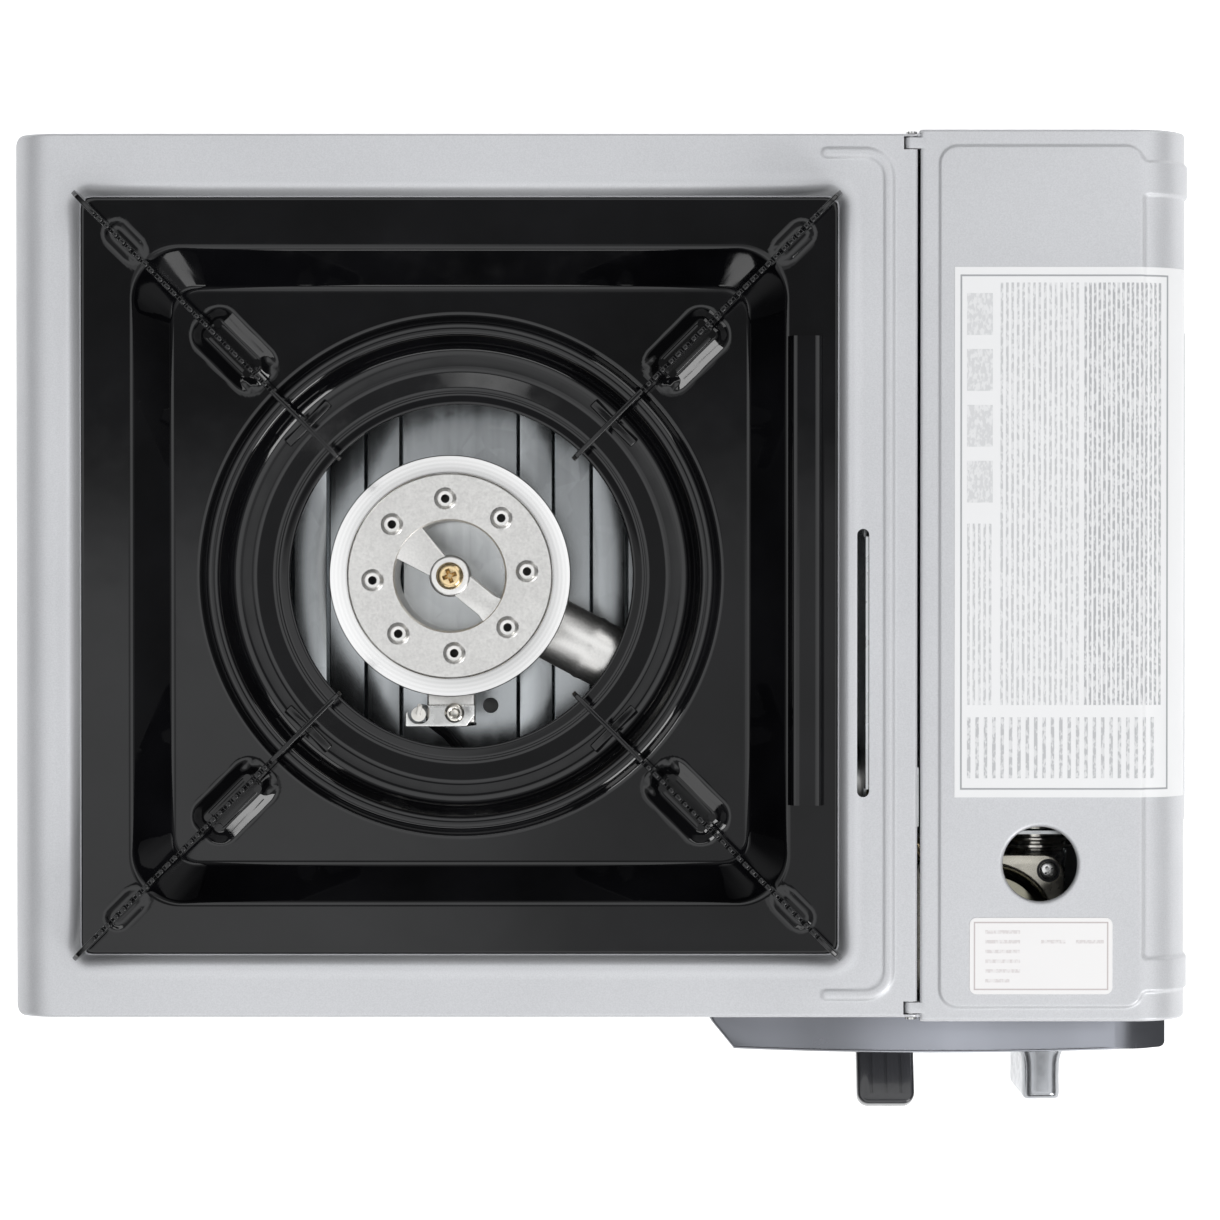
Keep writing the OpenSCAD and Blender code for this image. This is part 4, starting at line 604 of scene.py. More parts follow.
def shell_rings():
    """Rings from the recess under the pan outwards over the skin and down the walls."""
    corners = [(a, 7, 0.18) for a in CORNERS]
    angles = angle_list(1.0, corners + [(38.4, 8, 0.3), (321.6, 8, 0.3), (0, 25, 0.6)])
    rings = [ring(*square(angles, half, max(half - 106.0, 3.4)), TOP - drop) for half, drop in LIP[::-1]]
    x0, y0, _ = rings[-1].T
    x1, y1 = rays(angles, X_LEFT, CASING_X + 4, WALL_FRONT, WALL_BACK, 4.0)
    scale = np.where(x1 > SHELL_EDGE, (SHELL_EDGE - PAN_X) / np.maximum(x1 - PAN_X, 1), 1.0)
    x1, y1 = PAN_X + (x1 - PAN_X) * scale, BODY_Y + (y1 - BODY_Y) * scale
    for f in list(np.linspace(0, 1, 42)[1:-1]) + [0.985, 0.994, 1.0]:
        x, y = x0 + (x1 - x0) * f, y0 + (y1 - y0) * f
        rings.append(ring(x, y, shell_height(x, y)))
    low = np.where(x1 > SHELL_EDGE - 0.01, TOP - 6.0, CASING_BOTTOM)
    for f in (0.06, 0.3, 0.65, 1.0):
        rings.append(ring(x1, y1, rings[-1][:, 2] * (1 - f) + low * f))
    return rings


def wall_cutters():
    """Holes in the front wall: knob stem, hinge pin, lever, panel screws, igniter."""
    y0, y1 = WALL_FRONT - 1, WALL_FRONT + SHEET + 1
    cuts = [rod("stem_hole", (GAS_X, GAS_Z), 6.0, y0, y1, "Y", 40), pin_hole(y0, y1)]
    cuts.append(box("arm_hole", (85.2, y0, 28), (88.7, y1, 46)))
    cuts += [rod("screw_hole", (x, SCREW_Z), SCREW_R, y0, y1, "Y", 24) for x in SCREW_XS]
    cuts.append(box("igniter_hole", (143.7, y0, 53.7), (148.3, y1, 58.3)))
    return cuts


def pin_hole(y0, y1):
    return rod("pin_hole", (HINGE_X, HINGE_Z), 1.05, y0, y1, "Y", 24)


def body_shell():
    """The casing's sheet with its slot and the room for the lid's ears."""
    shell = pressed("body_shell_sheet", shell_rings(), "root", "silver_paint", "body_shell", closed=True)
    reach = (SLOT_LENGTH - SLOT_WIDTH) / 2
    ends = [circle(CASING_X - 15.0, BODY_Y - 25 + side * reach, SLOT_WIDTH / 2, 17, start, 191.25)
            for side, start in ((1, 0), (-1, 180))]
    cuts = [prism("slot", np.vstack(ends), TOP - 3, TOP + 3)]
    for y in EAR_YS:
        cuts.append(box("ear_room", (HINGE_X - 2.3, y - 0.3, TOP - 12), (CASING_X + 1, y + 3.5, TOP + 1)))
    cuts.append(box("tab_room", (CASING_X - 1, -57.3, 80.5), (CASING_X + 1, -39.7, 81.9)))
    carve(shell, cuts + wall_cutters(), smooth=50)


def bay_wall(name, y, cuts):
    """End wall of the canister bay, under the lid."""
    left, right, inner = CASING_X - SHEET, LID_SIDE_X - 1.2, LID_BEND - 1.2
    outline = [(left, CASING_BOTTOM), (right, CASING_BOTTOM), (right, TOP - LID_BEND)]
    outline += list(circle(LID_FLAT, TOP - LID_BEND, inner, 18, 5, 90))
    outline += [(CASING_X + 0.2, 82.8), (CASING_X + 0.2, 77.5), (left, 77.5)]
    carve(prism(name, outline, y, y + SHEET, "root", "silver_paint", axis="Y"), cuts)


body_shell()
bay_wall("bay_wall_front", WALL_FRONT, wall_cutters())
bay_wall("bay_wall_back", WALL_BACK - SHEET, [pin_hole(140, 144)])

# ---------- lid ----------
RAISE_X0, RAISE_X1, RAISE_Y0, RAISE_Y1 = 96.7, 154.2, -108.8, 138.2
BANDS = ((RAISE_Y0 + 4.4, RAISE_Y0 + 14.0), (RAISE_Y1 - 14.0, RAISE_Y1 - 4.4))
SIDE_U = LID_FLAT + LID_BEND * math.pi / 2
SEAM_X, SEAM_END, SEAM_DROP = 91.25, 93.0, 0.85


def lid_skin(u, offset=0.0):
    """Point of the lid's section, u measured along it from the seam, set off along its normal."""
    u = np.asarray(u, float)
    a = np.clip((u - LID_FLAT) / LID_BEND, 0, math.pi / 2)
    nx, nz = np.sin(a), np.cos(a)
    x = np.where(u < LID_FLAT, u, LID_FLAT + LID_BEND * nx)
    edge = np.clip((SEAM_END - u) / (SEAM_END - SEAM_X), 0, 1)
    flat = TOP - SEAM_DROP * (1 - np.sqrt(1 - edge * edge))
    bend = TOP - LID_BEND + LID_BEND * nz
    z = np.where(u < LID_FLAT, flat, np.where(u < SIDE_U, bend, TOP - LID_BEND - (u - SIDE_U)))
    return x + nx * offset, z + nz * offset


def lid_relief(u, y):
    """Raised panel, two bands that run over the side, and the pad on the side."""
    shape = -sd_rect(u, y, RAISE_X0, RAISE_X1 + 1.0, RAISE_Y0, RAISE_Y1, 5.2)
    for y0, y1 in BANDS:
        band = np.where(u > RAISE_X1 - 6, np.minimum(y - y0, y1 - y), -9)
        blend = np.clip(0.5 + (shape - band) / 5.0, 0, 1)
        shape = shape * blend + band * (1 - blend) + 1.25 * blend * (1 - blend)
    pad = -sd_rect(u, y, SIDE_U + 0.5, SIDE_U + 36, BODY_Y - 74.5, BODY_Y + 74.5, 6.0)
    return RAISE * np.maximum(step(0.5 + shape / 1.3), step(0.5 + pad / 2.2))


def lid_rows(us, ys, offset=0.0):
    """Rows of points along the lid's section, one for each y, at a distance above its face."""
    uu, yy = np.meshgrid(us, ys)
    x, z = lid_skin(uu, lid_relief(uu, yy) + offset)
    return [ring(x[k], y, z[k]) for k, y in enumerate(ys)]


def lid_end(us, y, side):
    """Rows that bend the lid's end over and down into its flange."""
    bends = [(side * math.sin(a), math.cos(a) - 1.0) for a in np.radians([22, 45, 68, 90])]
    made = []
    for out, offset in bends + [(side, -4.0), (side, -7.5), (side, -11.0)]:
        x, z = lid_skin(us, offset)
        made.append(ring(x, y + out, z))
    return made


def lid_sheet():
    """The lid's pressed sheet with its round viewing hole."""
    us = chain(SEAM_X, (LID_X + 1.3, 0.2), (95.6, 0.9), (98.0, 0.3), (103, 0.6), (149, 2.3), (160, 0.5),
               (SIDE_U, 0.8), (SIDE_U + 3, 0.5), (SIDE_U + 34, 3.0), (SIDE_U + 38, 0.6), (SIDE_U + 52, 2.6))
    ys = chain(Y_FRONT + 1.0, (-110, 0.5), (-87, 0.32), (-60.8, 1.4), (-57.8, 0.5), (87.8, 2.8),
               (90.8, 0.5), (116, 1.4), (140, 0.32), (Y_BACK - 1.0, 0.5))
    rows = lid_end(us, ys[0], -1)[::-1] + lid_rows(us, ys) + lid_end(us, ys[-1], 1)
    cover = pressed("lid_sheet", rows, "lid", "silver_paint", "lid", 45)
    carve(cover, [rod("view", (VIEW_X, VIEW_Y), VIEW_R + 1.3, 70, 90, n=128)], smooth=45)


def lid_view_rim():
    """Rolled rim of the viewing hole, as distance outside its edge and height on the raised panel."""
    rim = [(1.3, 0.0), (0.9, -0.06), (0.5, -0.28), (0.18, -0.65), (0.0, -1.3), (0.1, -1.5), (0.8, -1.1),
           (1.3, -0.8)]
    profile = [(VIEW_R + out, TOP + RAISE + h) for out, h in rim]
    spin("lid_view_rim", profile, (VIEW_X, VIEW_Y), "lid", "silver_paint", n=128, smooth=60, closed=True)


def lid_ears():
    """The flange at the seam, and the ear at either end with its bore for the hinge pin."""
    x0, x1, top = LID_X, LID_X + SHEET, TOP - 0.5
    flange = [(x0, 78.0), (x1, 78.0), (x1, top), (x0, top)]
    prism("lid_seam_flange", flange, -106.5, 136.5, "lid", "silver_paint", width=0.1, segments=2, axis="Y")
    top = TOP - 0.02
    tail = [(x0 + 1.6, HINGE_Z - 1.9), (x0 + 1.6, top), (x0 + 0.4, top), (x0 - 0.6, HINGE_Z + 1.9)]
    outline = np.vstack([circle(HINGE_X, HINGE_Z, 1.9, 16, 90, 200), tail])
    for k, y in enumerate(EAR_YS):
        ear = prism("lid_ear_%d" % (k + 1), outline, y, y + 3.2, "lid", "silver_paint", "", 0.2, 2, "Y")
        carve(ear, [pin_hole(y - 1, y + 5)])


lid_sheet()
lid_view_rim()
lid_ears()

# ---------- drip pan ----------
RING_R, RING_H = 76.0, 4.0
PAD_R, CORNER_PAD_R = 92.8, 135.8
PAN_EDGE, PAN_STEP = 108.5, 94.4
# the pan's turned edge, as half width and drop below the border
PAN_RIM = ((109.0, 0.8), (109.0, 0.35), (108.85, 0.1), (PAN_EDGE, 0.0))
# section of the raised rail, as x and height over the border
RAIL = [(53.4, -0.1), (54.6, 2.6), (56.0, 2.96), (58.7, 3.0), (61.4, 2.96), (62.8, 2.6), (63.9, -0.1)]


def pan_relief(x, y):
    """Pressed pads under the supports, with broad flanks and two hollows at the inner end."""
    dx, dy = np.abs(x - PAN_X), np.abs(y - BODY_Y)
    u, v = (dx + dy) / math.sqrt(2), (dy - dx) / math.sqrt(2)
    big = -sd_rect(u, v, PAD_R - 13.5, PAD_R + 13.5, -7.7, 7.7, 5.6)
    flank = np.clip(big / 4.6, 0, 1)
    hollow = -sd_rect(u, np.abs(v), PAD_R - 12.6, PAD_R - 7.4, 1.9, 5.6, 1.2)
    small = -sd_rect(u, v, CORNER_PAD_R - 7.5, CORNER_PAD_R + 7.5, -4.0, 4.0, 3.9)
    return 3.0 * (0.68 * flank + 0.32 * step(flank)) - 0.8 * step(hollow / 1.4) + 1.2 * step(small / 2.2)


def pan_border(angles):
    """Rings of the turned edge, the border with its rounder inner corners, and the slope to the floor."""
    rings = [ring(*square(angles, half, 3.0), BORDER_Z - drop) for half, drop in PAN_RIM]
    parts = []
    for half in np.linspace(107.9, PAN_STEP + 2.8, 19):
        parts.append((half, 3.0 + 11.5 * (PAN_EDGE - half) / (PAN_EDGE - PAN_STEP), BORDER_Z))
    high = [(PAN_STEP + 2.2, BORDER_Z), (PAN_STEP, BORDER_Z)]
    low = [(FLOOR_HALF, FLOOR_Z), (FLOOR_HALF - 2.2, FLOOR_Z)]
    for half, z in fillet(high + low, 1.6, 6):
        parts.append((half, 14.5 - 7.0 * (BORDER_Z - z) / (BORDER_Z - FLOOR_Z), z))
    for half, r, z in parts:
        x, y = square(angles, half, r)
        rings.append(ring(x, y, z + pan_relief(x, y)))
    return rings


def pan_bead():
    """Section from the floor in over the ring bead, the gutter and the lip of the burner hole."""
    bead = [(0.6, 0.0), (-0.6, 0.2), (-2.0, 3.0), (-4.0, RING_H), (-6.2, 3.6)]
    gutter = [(66.6, 1.0), (64.5, 0.0), (60.6, 0.0), (59.6, -0.25), (54.8, -3.0), (53.8, -3.2), (53.0, -2.8),
              (50.6, -2.7), (50.0, -3.0), (50.0, -3.5)]
    path = [(RING_R + out, FLOOR_Z + h) for out, h in bead] + [(r, GUTTER_Z + h) for r, h in gutter]
    return fillet(path, 1.6, 4)


def drip_pan():
    """The pan's pressed sheet."""
    angles = angle_list(1.0, [(a, 9, 0.45) for a in CORNERS])
    rings = pan_border(angles)
    x0, y0, _ = rings[-1].T
    c, s = np.cos(angles), np.sin(angles)
    x1, y1 = PAN_X + (RING_R + 0.8) * c, BODY_Y + (RING_R + 0.8) * s
    for f in np.linspace(0, 1, 44)[1:]:
        x, y = x0 + (x1 - x0) * f, y0 + (y1 - y0) * f
        rings.append(ring(x, y, FLOOR_Z + pan_relief(x, y)))
    rings += [ring(PAN_X + r * c, BODY_Y + r * s, z) for r, z in pan_bead()]
    pressed("drip_pan_sheet", rings, "pan", "black_enamel", "drip_pan", closed=True)


def pan_rail():
    """The raised rail between pan and lid."""
    x, z = fillet([(x, BORDER_Z + h) for x, h in RAIL], 0.7, 5).T
    rows = [ring(x, y, z) for y in np.linspace(-51.0, 84.0, 28)]
    pressed("drip_pan_rail", rows, "pan", "black_enamel", thick=0.7)


drip_pan()
pan_rail()

# ---------- pan supports ----------
BLADE_T, BLADE_TOP, INNER, OUTER, FOOT_R = 1.4, 100.0, 46.5, 155.0, 62.7
TOOTH_PITCH = 3.0


def blade_outline():
    """Side view of a support blade, x out from the pan's middle, y up."""
    top = [(INNER, BLADE_TOP - 2.2), (INNER + 1.0, BLADE_TOP - 0.6), (INNER + 3, BLADE_TOP)]
    for k, x in enumerate(np.arange(75.0, OUTER - 9, TOOTH_PITCH)):
        deep = 1.5 if k % 3 == 0 else 0.9
        top += [(x - 0.7 * deep, BLADE_TOP), (x, BLADE_TOP - deep), (x + 0.7 * deep, BLADE_TOP)]
    tip = [(OUTER - 7, BLADE_TOP), (OUTER - 3, BLADE_TOP - 1.8), (OUTER - 1, BLADE_TOP - 5), (OUTER, 86),
           (OUTER - 4, 84.7), (OUTER - 14, 84.7)]
    outer = [(CORNER_PAD_R + x, z) for x, z in ((5.5, 81.0), (-5.5, 81.0), (-9.5, 86.0))]
    pads = outer + [(PAD_R + 17, 86.0), (PAD_R + 11, 74.8), (PAD_R - 11, 74.8), (75, 78.8), (71, 92)]
    foot = [(4, 95), (1.5, 92), (1, GUTTER_Z), (-1, GUTTER_Z), (-1.5, 92), (-4, 95)]
    return top + tip + pads + [(FOOT_R + x, z) for x, z in foot] + [(INNER + 1, 95)]


def blade(k, mat):
    """A support blade with its foot in the gutter and its clip on the pad."""
    half = BLADE_T / 2
    piece = prism("blade_%d" % (k + 1), blade_outline(), -half, half, width=0.32, axis="Y", material=mat)
    bar = box("foot_bar", (FOOT_R - 1.3, -8.5, GUTTER_Z), (FOOT_R + 1.3, 8.5, GUTTER_Z + 1.4), width=0.5)
    pad = prism("foot_pad", rounded(PAD_R - 9.5, PAD_R + 9.5, -3.2, 3.2, 3.1), 74.8, 76.4, width=0.5)
    carve(pad, [prism("well", rounded(PAD_R - 8.2, PAD_R + 8.2, -1.9, 1.9, 1.8), 75.8, 78.0)], smooth=35)
    carve(piece, [bar, pad], "UNION", 35)
    one_material(piece, mat)
    for face in piece.data.polygons:
        face.material_index = 0
        face.use_smooth = abs(face.normal.y) < 0.98
    turn = Matrix.Rotation(math.radians(45 + 90 * k), 4, "Z")
    piece.data.transform(Matrix.Translation((PAN_X * MM, BODY_Y * MM, 0)) @ turn)
    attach(piece, "pan")
    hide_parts("support_blade_%d" % (k + 1))


blade_enamel = enamel("blade_enamel", 0.06)
for k in range(4):
    blade(k, blade_enamel)

# ---------- burner ----------
EYE_R, RING_IN, BURNER_R, HUB_R = 16.0, 29.7, 35.0, 5.6
PORTS, PORT_CIRCLE, PORT_TURN, BAR_TURN = 8, 22.4, 3.3, -39.0
BURNER = (BURNER_X, BODY_Y)
SCREW_TURN, TUBE_TURN, TUBE_Z = 20, -27.8, 54.5


def cap_ring():
    """Turned outer ring of the burner cap."""
    top = BURNER_TOP
    ring_outline = [(RING_IN, CAP_Z + 0.2), (RING_IN, top - 0.1), (RING_IN + 0.1, top), (RING_IN + 0.5, top),
                    (BURNER_R - 0.25, top - 1.1), (BURNER_R, top - 1.4), (BURNER_R, CAP_Z), (RING_IN, CAP_Z)]
    spin("cap_ring", ring_outline, BURNER, "root", "cast_aluminium", "burner_cap", 192, 30, closed=True,
         material=MAT["turned_aluminium"])


def cap_disc():
    """Cast disc inside the ring, with eight raised ports, the bar across its eye and the hub."""
    top, rim = BURNER_TOP, RING_IN - 0.1
    disc = [(EYE_R, CAP_Z), (EYE_R, top - 0.9), (EYE_R + 0.5, top - 0.45), (RING_IN - 0.4, top - 0.4),
            (RING_IN - 0.12, top - 0.6), (rim, CAP_Z + 1.0), (rim, CAP_Z)]
    plate = spin("cap_disc", disc, BURNER, "root", "cast_aluminium", n=160, smooth=30, closed=True)
    boss = [(0, CAP_Z + 1), (3.4, CAP_Z + 1), (3.3, top - 0.4), (2.75, top - 0.1), (2.45, top + 0.5),
            (2.2, top + 0.85), (1.7, top + 0.85), (1.3, top + 0.6), (0, top + 0.6)]
    hub = [(0, CAP_Z), (HUB_R + 0.5, CAP_Z), (HUB_R + 0.3, top - 0.8), (HUB_R, top - 0.35),
           (HUB_R - 0.5, top - 0.15), (0, top - 0.15)]
    side = [(-17.0, 6.2), (-4.5, 3.6), (13.5, 3.6), (17.0, 4.6)]
    bar = oblique(BURNER, BAR_TURN, side + [(u, -v) for u, v in side[::-1]])
    places = circle(*BURNER, PORT_CIRCLE, PORTS, 90 + PORT_TURN)
    joined = [spin("boss", boss, place, n=32, smooth=40) for place in places]
    joined.append(prism("bar", bar, CAP_Z, top - 0.7, width=0.3, segments=2))
    joined.append(spin("hub", hub, BURNER, n=64, smooth=40))
    carve(plate, joined, "UNION", 35)
    carve(plate, [rod("port", place, 1.25, CAP_Z - 1, top + 3, n=28) for place in places], smooth=35)


def cross_cut(piece, centre, z, reach, half, turn):
    """Phillips recess: two crossed tapering slots."""
    cuts = []
    for angle in (turn, turn + 90):
        top = [(-reach, -half), (reach, -half), (reach, half), (-reach, half)]
        low = [(u * 0.35, v * 0.35) for u, v in top]
        levels = ((top, z + 3), (top, z), (low, z - 1.2))
        cuts.append(solid("cross", [layer(oblique(centre, angle, points), h) for points, h in levels]))
    carve(piece, cuts)


def burner_screw():
    head = [(0, 74.8), (3.9, 74.8), (4.0, 75.3), (3.85, 76.1), (3.3, 76.75), (2.2, 77.1), (0, 77.2)]
    screw = spin("burner_screw_head", head, BURNER, "root", "brass", "burner_screw", 64, 45)
    cross_cut(screw, BURNER, 76.4, 2.1, 0.6, SCREW_TURN)
    spin("burner_screw_shank", [(1.95, 50.0), (1.95, 74.9)], BURNER, "root", "brass", n=24)


def casting():
    """Bowl under the cap, its core with a bridge, and the lug for the igniter's bracket."""
    z0, z1 = 45.0, CAP_Z - 0.1
    bowl = [(16.0, z0), (33.4, z0), (34.0, z0 + 1.2), (34.0, z1), (31.6, z1), (31.4, z0 + 3), (18.6, z0 + 3),
            (18.6, z1), (16.0, z1)]
    spin("casting_bowl", bowl, BURNER, "root", "cast_aluminium", "burner_casting", 128, 30, closed=True)
    x, y = BURNER
    lug = box("casting_lug", (x - 7, y - 43, 62), (x + 7, y - 33.5, 66), "root", "cast_aluminium", width=0.8)
    carve(lug, [rod("lug_hole", (x + 1, y - 40), 1.6, 60, 68, n=24)])
    inner = [(0, z0), (HUB_R - 0.4, z0), (HUB_R, z1), (0, z1)]
    core = spin("casting_core", inner, BURNER, "root", "cast_aluminium", n=48, smooth=30)
    strip = oblique(BURNER, BAR_TURN, [(-17, -3.4), (17, -3.4), (17, 3.4), (-17, 3.4)])
    carve(core, [prism("bridge", strip, z0, z0 + 8, width=0.3, segments=2)], "UNION", 35)


def mixing_tube():
    """Tube from the bowl towards the canister bay, with flanges at both ends."""
    tube = [(7.5, 30.0), (9.5, 30.0), (9.5, 44.0), (9.8, 45.5), (9.5, 47.0), (9.2, 96.0), (9.5, 118.0),
            (10.6, 130.5), (11.0, 131.2), (11.0, 136.0), (7.5, 136.0)]
    pipe = spin("casting_tube", tube, (0, 0), "root", "cast_aluminium", n=64, smooth=30, closed=True)
    turn = math.radians(TUBE_TURN)
    along = Vector((math.cos(turn), math.sin(turn), 0)).to_track_quat("Z", "Y").to_matrix().to_4x4()
    pipe.data.transform(Matrix.Translation(Vector((*BURNER, TUBE_Z)) * MM) @ along)


cap_ring()
cap_disc()
burner_screw()
casting()
mixing_tube()

# ---------- control panel, knob and lever ----------
PANEL_FACE, PANEL_BULGE, KNOB_Y = -122.4, 1.6, -120.4
POCKET_Y, POCKET_R, POCKET_BACK = -120.0, 21.4, -118.0
PANEL_R = 1.6
GAS = (GAS_X, GAS_Z)
# edges of the panel, as inset and height from its bottom or drop from its top
PANEL_LOW = ((1.7, 0.0), (1.2, 0.1), (0.6, 0.5), (0.15, 1.2), (0.0, 2.2))
PANEL_HIGH = ((0.0, 5.0), (0.06, 2.6), (0.22, 1.5), (0.5, 0.8), (0.9, 0.3), (1.5, 0.0))


def panel_plan(inset):
    """Plan of the panel: bowed face, long chamfer on the left, small round on the right."""
    mid, half = (PANEL_X0 + PANEL_X1) / 2, (PANEL_X1 - PANEL_X0) / 2
    left, right = PANEL_X0 + inset, PANEL_X1 - PANEL_R
    plan = [(left, WALL_FRONT), (left, WALL_FRONT - 1.2), (PANEL_X0 + 1.2 + inset * 0.7, WALL_FRONT - 3.0)]
    for x in np.linspace(PANEL_X0 + 7.6, right, 40):
        plan.append((x, PANEL_FACE - PANEL_BULGE * (1 - ((x - mid) / half) ** 2) + inset))
    r = PANEL_R - inset
    for a in np.radians([20, 45, 70, 90]):
        plan.append((right + r * math.sin(a), PANEL_FACE + PANEL_R - r * math.cos(a)))
    return plan + [(PANEL_X1 - inset, WALL_FRONT)]


def panel_hollow():
    """The room inside the panel, open to the wall."""
    rings = []
    for z in (PANEL_Z0 + 2, PANEL_Z1 - 7.0):
        inner = [(min(max(x, PANEL_X0 + 3), PANEL_X1 - 3), y if y > WALL_FRONT - 1 else y + 2.0)
                 for x, y in panel_plan(1.2)]
        rings.append(layer(inner, z))
        rings[-1][[0, -1], 1] = WALL_FRONT + 1
    return solid("hollow", rings)


def panel_droop():
    """Cutter that lets the panel's top edge sink towards its right end."""
    x0, x1 = 146.0, PANEL_X1 + 2
    droop = []
    for x in np.linspace(x0, x1, 19):
        droop.append((x, PANEL_Z1 - 0.22 * (math.hypot(x - 151.5, 3.0) + x - 151.5) + 0.03))
    return prism("droop", droop + [(x1, 80), (x0, 80)], -130, WALL_FRONT + 1, axis="Y")


def control_panel():
    """Panel with the knob's pocket, the lever's slot and the posts for its screws."""
    rings = [layer(panel_plan(inset), PANEL_Z0 + rise) for inset, rise in PANEL_LOW]
    rings += [layer(panel_plan(inset), PANEL_Z1 - drop) for inset, drop in PANEL_HIGH]
    body = solid("panel_body", rings, "root", "panel_plastic", "control_panel")
    carve(body, [panel_hollow(), panel_droop()])
    carve(body, [rod("backing", GAS, POCKET_R + 2.0, PANEL_FACE, POCKET_BACK, "Y", 96)], "UNION")
    y0, y1 = -126.0, WALL_FRONT + 1
    slot = [(74.2, 26.5), (93.6, 26.5), (93.6, 49.5), (74.2, 49.5)]
    cuts = [rod("pocket", GAS, POCKET_R, y0, POCKET_Y, "Y", 96), rod("neck_hole", GAS, 7.4, y0, y1, "Y", 48)]
    cuts.append(prism("lever_slot", slot, y0, y1, axis="Y"))
    cuts += [rod("screw_well", (x, SCREW_Z), 3.1, y0, WALL_FRONT - 3, "Y", 32) for x in SCREW_XS]
    carve(body, cuts)
    one_material(body, MAT["panel_plastic"])
    post = [(SCREW_R, 0.01), (4.0, 0.01), (4.0, 10.4), (3.1, 10.4), (3.1, 4.0), (SCREW_R, 4.0)]
    for k, x in enumerate(SCREW_XS):
        spin("panel_post_%d" % (k + 1), [(r, WALL_FRONT - depth) for r, depth in post], (x, SCREW_Z), "root",
             "panel_plastic", n=40, axis="Y", closed=True)


def knob():
    """Disc that lies in the panel's pocket, with its neck."""
    disc = [(3.1, 0.0), (20.4, 0.0), (21.0, 0.4), (21.0, 2.0), (20.5, 2.7), (19.6, 3.0), (0.0, 3.0)]
    profile = [(r, KNOB_Y - depth) for r, depth in disc]
    spin("knob_disc", profile, GAS, "knob", "black_plastic", "knob", smooth=40, axis="Y",
         material=MAT["knob_plastic"])
    y = KNOB_Y - 0.01
    neck = [(3.1, y), (7.0, y), (7.0, POCKET_BACK), (3.1, POCKET_BACK)]
    spin("knob_neck", neck, GAS, "knob", "black_plastic", n=48, axis="Y", closed=True)


# section of the knob's grip, as half width and height over the disc's back
GRIP = [(8.4, 2.9), (7.2, 3.4), (6.3, 4.4), (5.7, 6.0), (5.4, 8.0), (5.3, 12.0), (5.4, 16.4), (5.3, 17.6),
        (4.9, 18.2), (4.0, 18.5)]
GRIP_ENDS = [19.4, 19.25, 18.9, 18.2, 17.2, 15.8, 12.0]


def knob_grip():
    """Grip fin: flared foot, waist, square slim edge with a groove, rounded at both ends."""
    foot = GRIP[0][1]
    rings = []
    for place in GRIP_ENDS + [0.0] + [-end for end in GRIP_ENDS[::-1]]:
        t = max(0, (abs(place) - 15.8) / 3.6)
        full = math.sqrt(max(1 - t * t, 0))
        sink = 1 - 0.16 * (1 - full)
        side = [(w * (0.3 + 0.7 * full), KNOB_Y - foot - (h - foot) * sink) for w, h in GRIP]
        outline = [(GAS_X - w, y) for w, y in side] + [(GAS_X + w, y) for w, y in side[::-1]]
        rings.append(layer(outline, GAS_Z + place))
    grip = solid("knob_grip", rings, "knob", "black_plastic", material=MAT["knob_plastic"])
    low, high = (GAS_X - 0.35, KNOB_Y - 20, GAS_Z - 25), (GAS_X + 0.35, KNOB_Y - 18.0, GAS_Z + 25)
    carve(grip, [box("groove", low, high)])


LEVER_REST, PIVOT_Y, PIVOT_Z = 20.0, -95.0, 34.0
HANDLE_X0, HANDLE_X1, HANDLE_REACH, HANDLE_LENGTH = 75.4, 92.4, 48.0, 22.4
GROOVE_XS = (79.6, 83.9, 88.2)


def lever_handle():
    """Flat handle, tilted down to the front, with grooves along it."""
    tilt = math.radians(LEVER_REST)
    y0 = 3.0 * math.tan(tilt) - HANDLE_REACH / math.cos(tilt)
    y1 = y0 + HANDLE_LENGTH
    outline = rounded(HANDLE_X0, HANDLE_X1, y0, y1, 3.4, 9)
    handle = prism("lever_grip", outline, -3.0, 3.0, slot="black_plastic", width=1.2, segments=4)
    cuts = [box("groove", (x - 0.45, y0 + 3.0, 2.3), (x + 0.45, y1 - 1.6, 4)) for x in GROOVE_XS]
    carve(handle, cuts + [box("arm_room", (86.15, y0 + 6.0, -2.52), (87.75, y1 + 3, 2.52))])
    pivot = Matrix.Translation((0, PIVOT_Y * MM, PIVOT_Z * MM))
    handle.data.transform(pivot @ Matrix.Rotation(-tilt, 4, "X"))
    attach(handle, "lever")
    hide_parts("lever_handle")


control_panel()
knob()
knob_grip()
lever_handle()

# ---------- igniter bracket ----------
RIVET_X, ELECTRODE_X, ELECTRODE_Y, BRACKET_Z = BURNER_X + 1.0, -53.6, BODY_Y - 40.0, 67.0


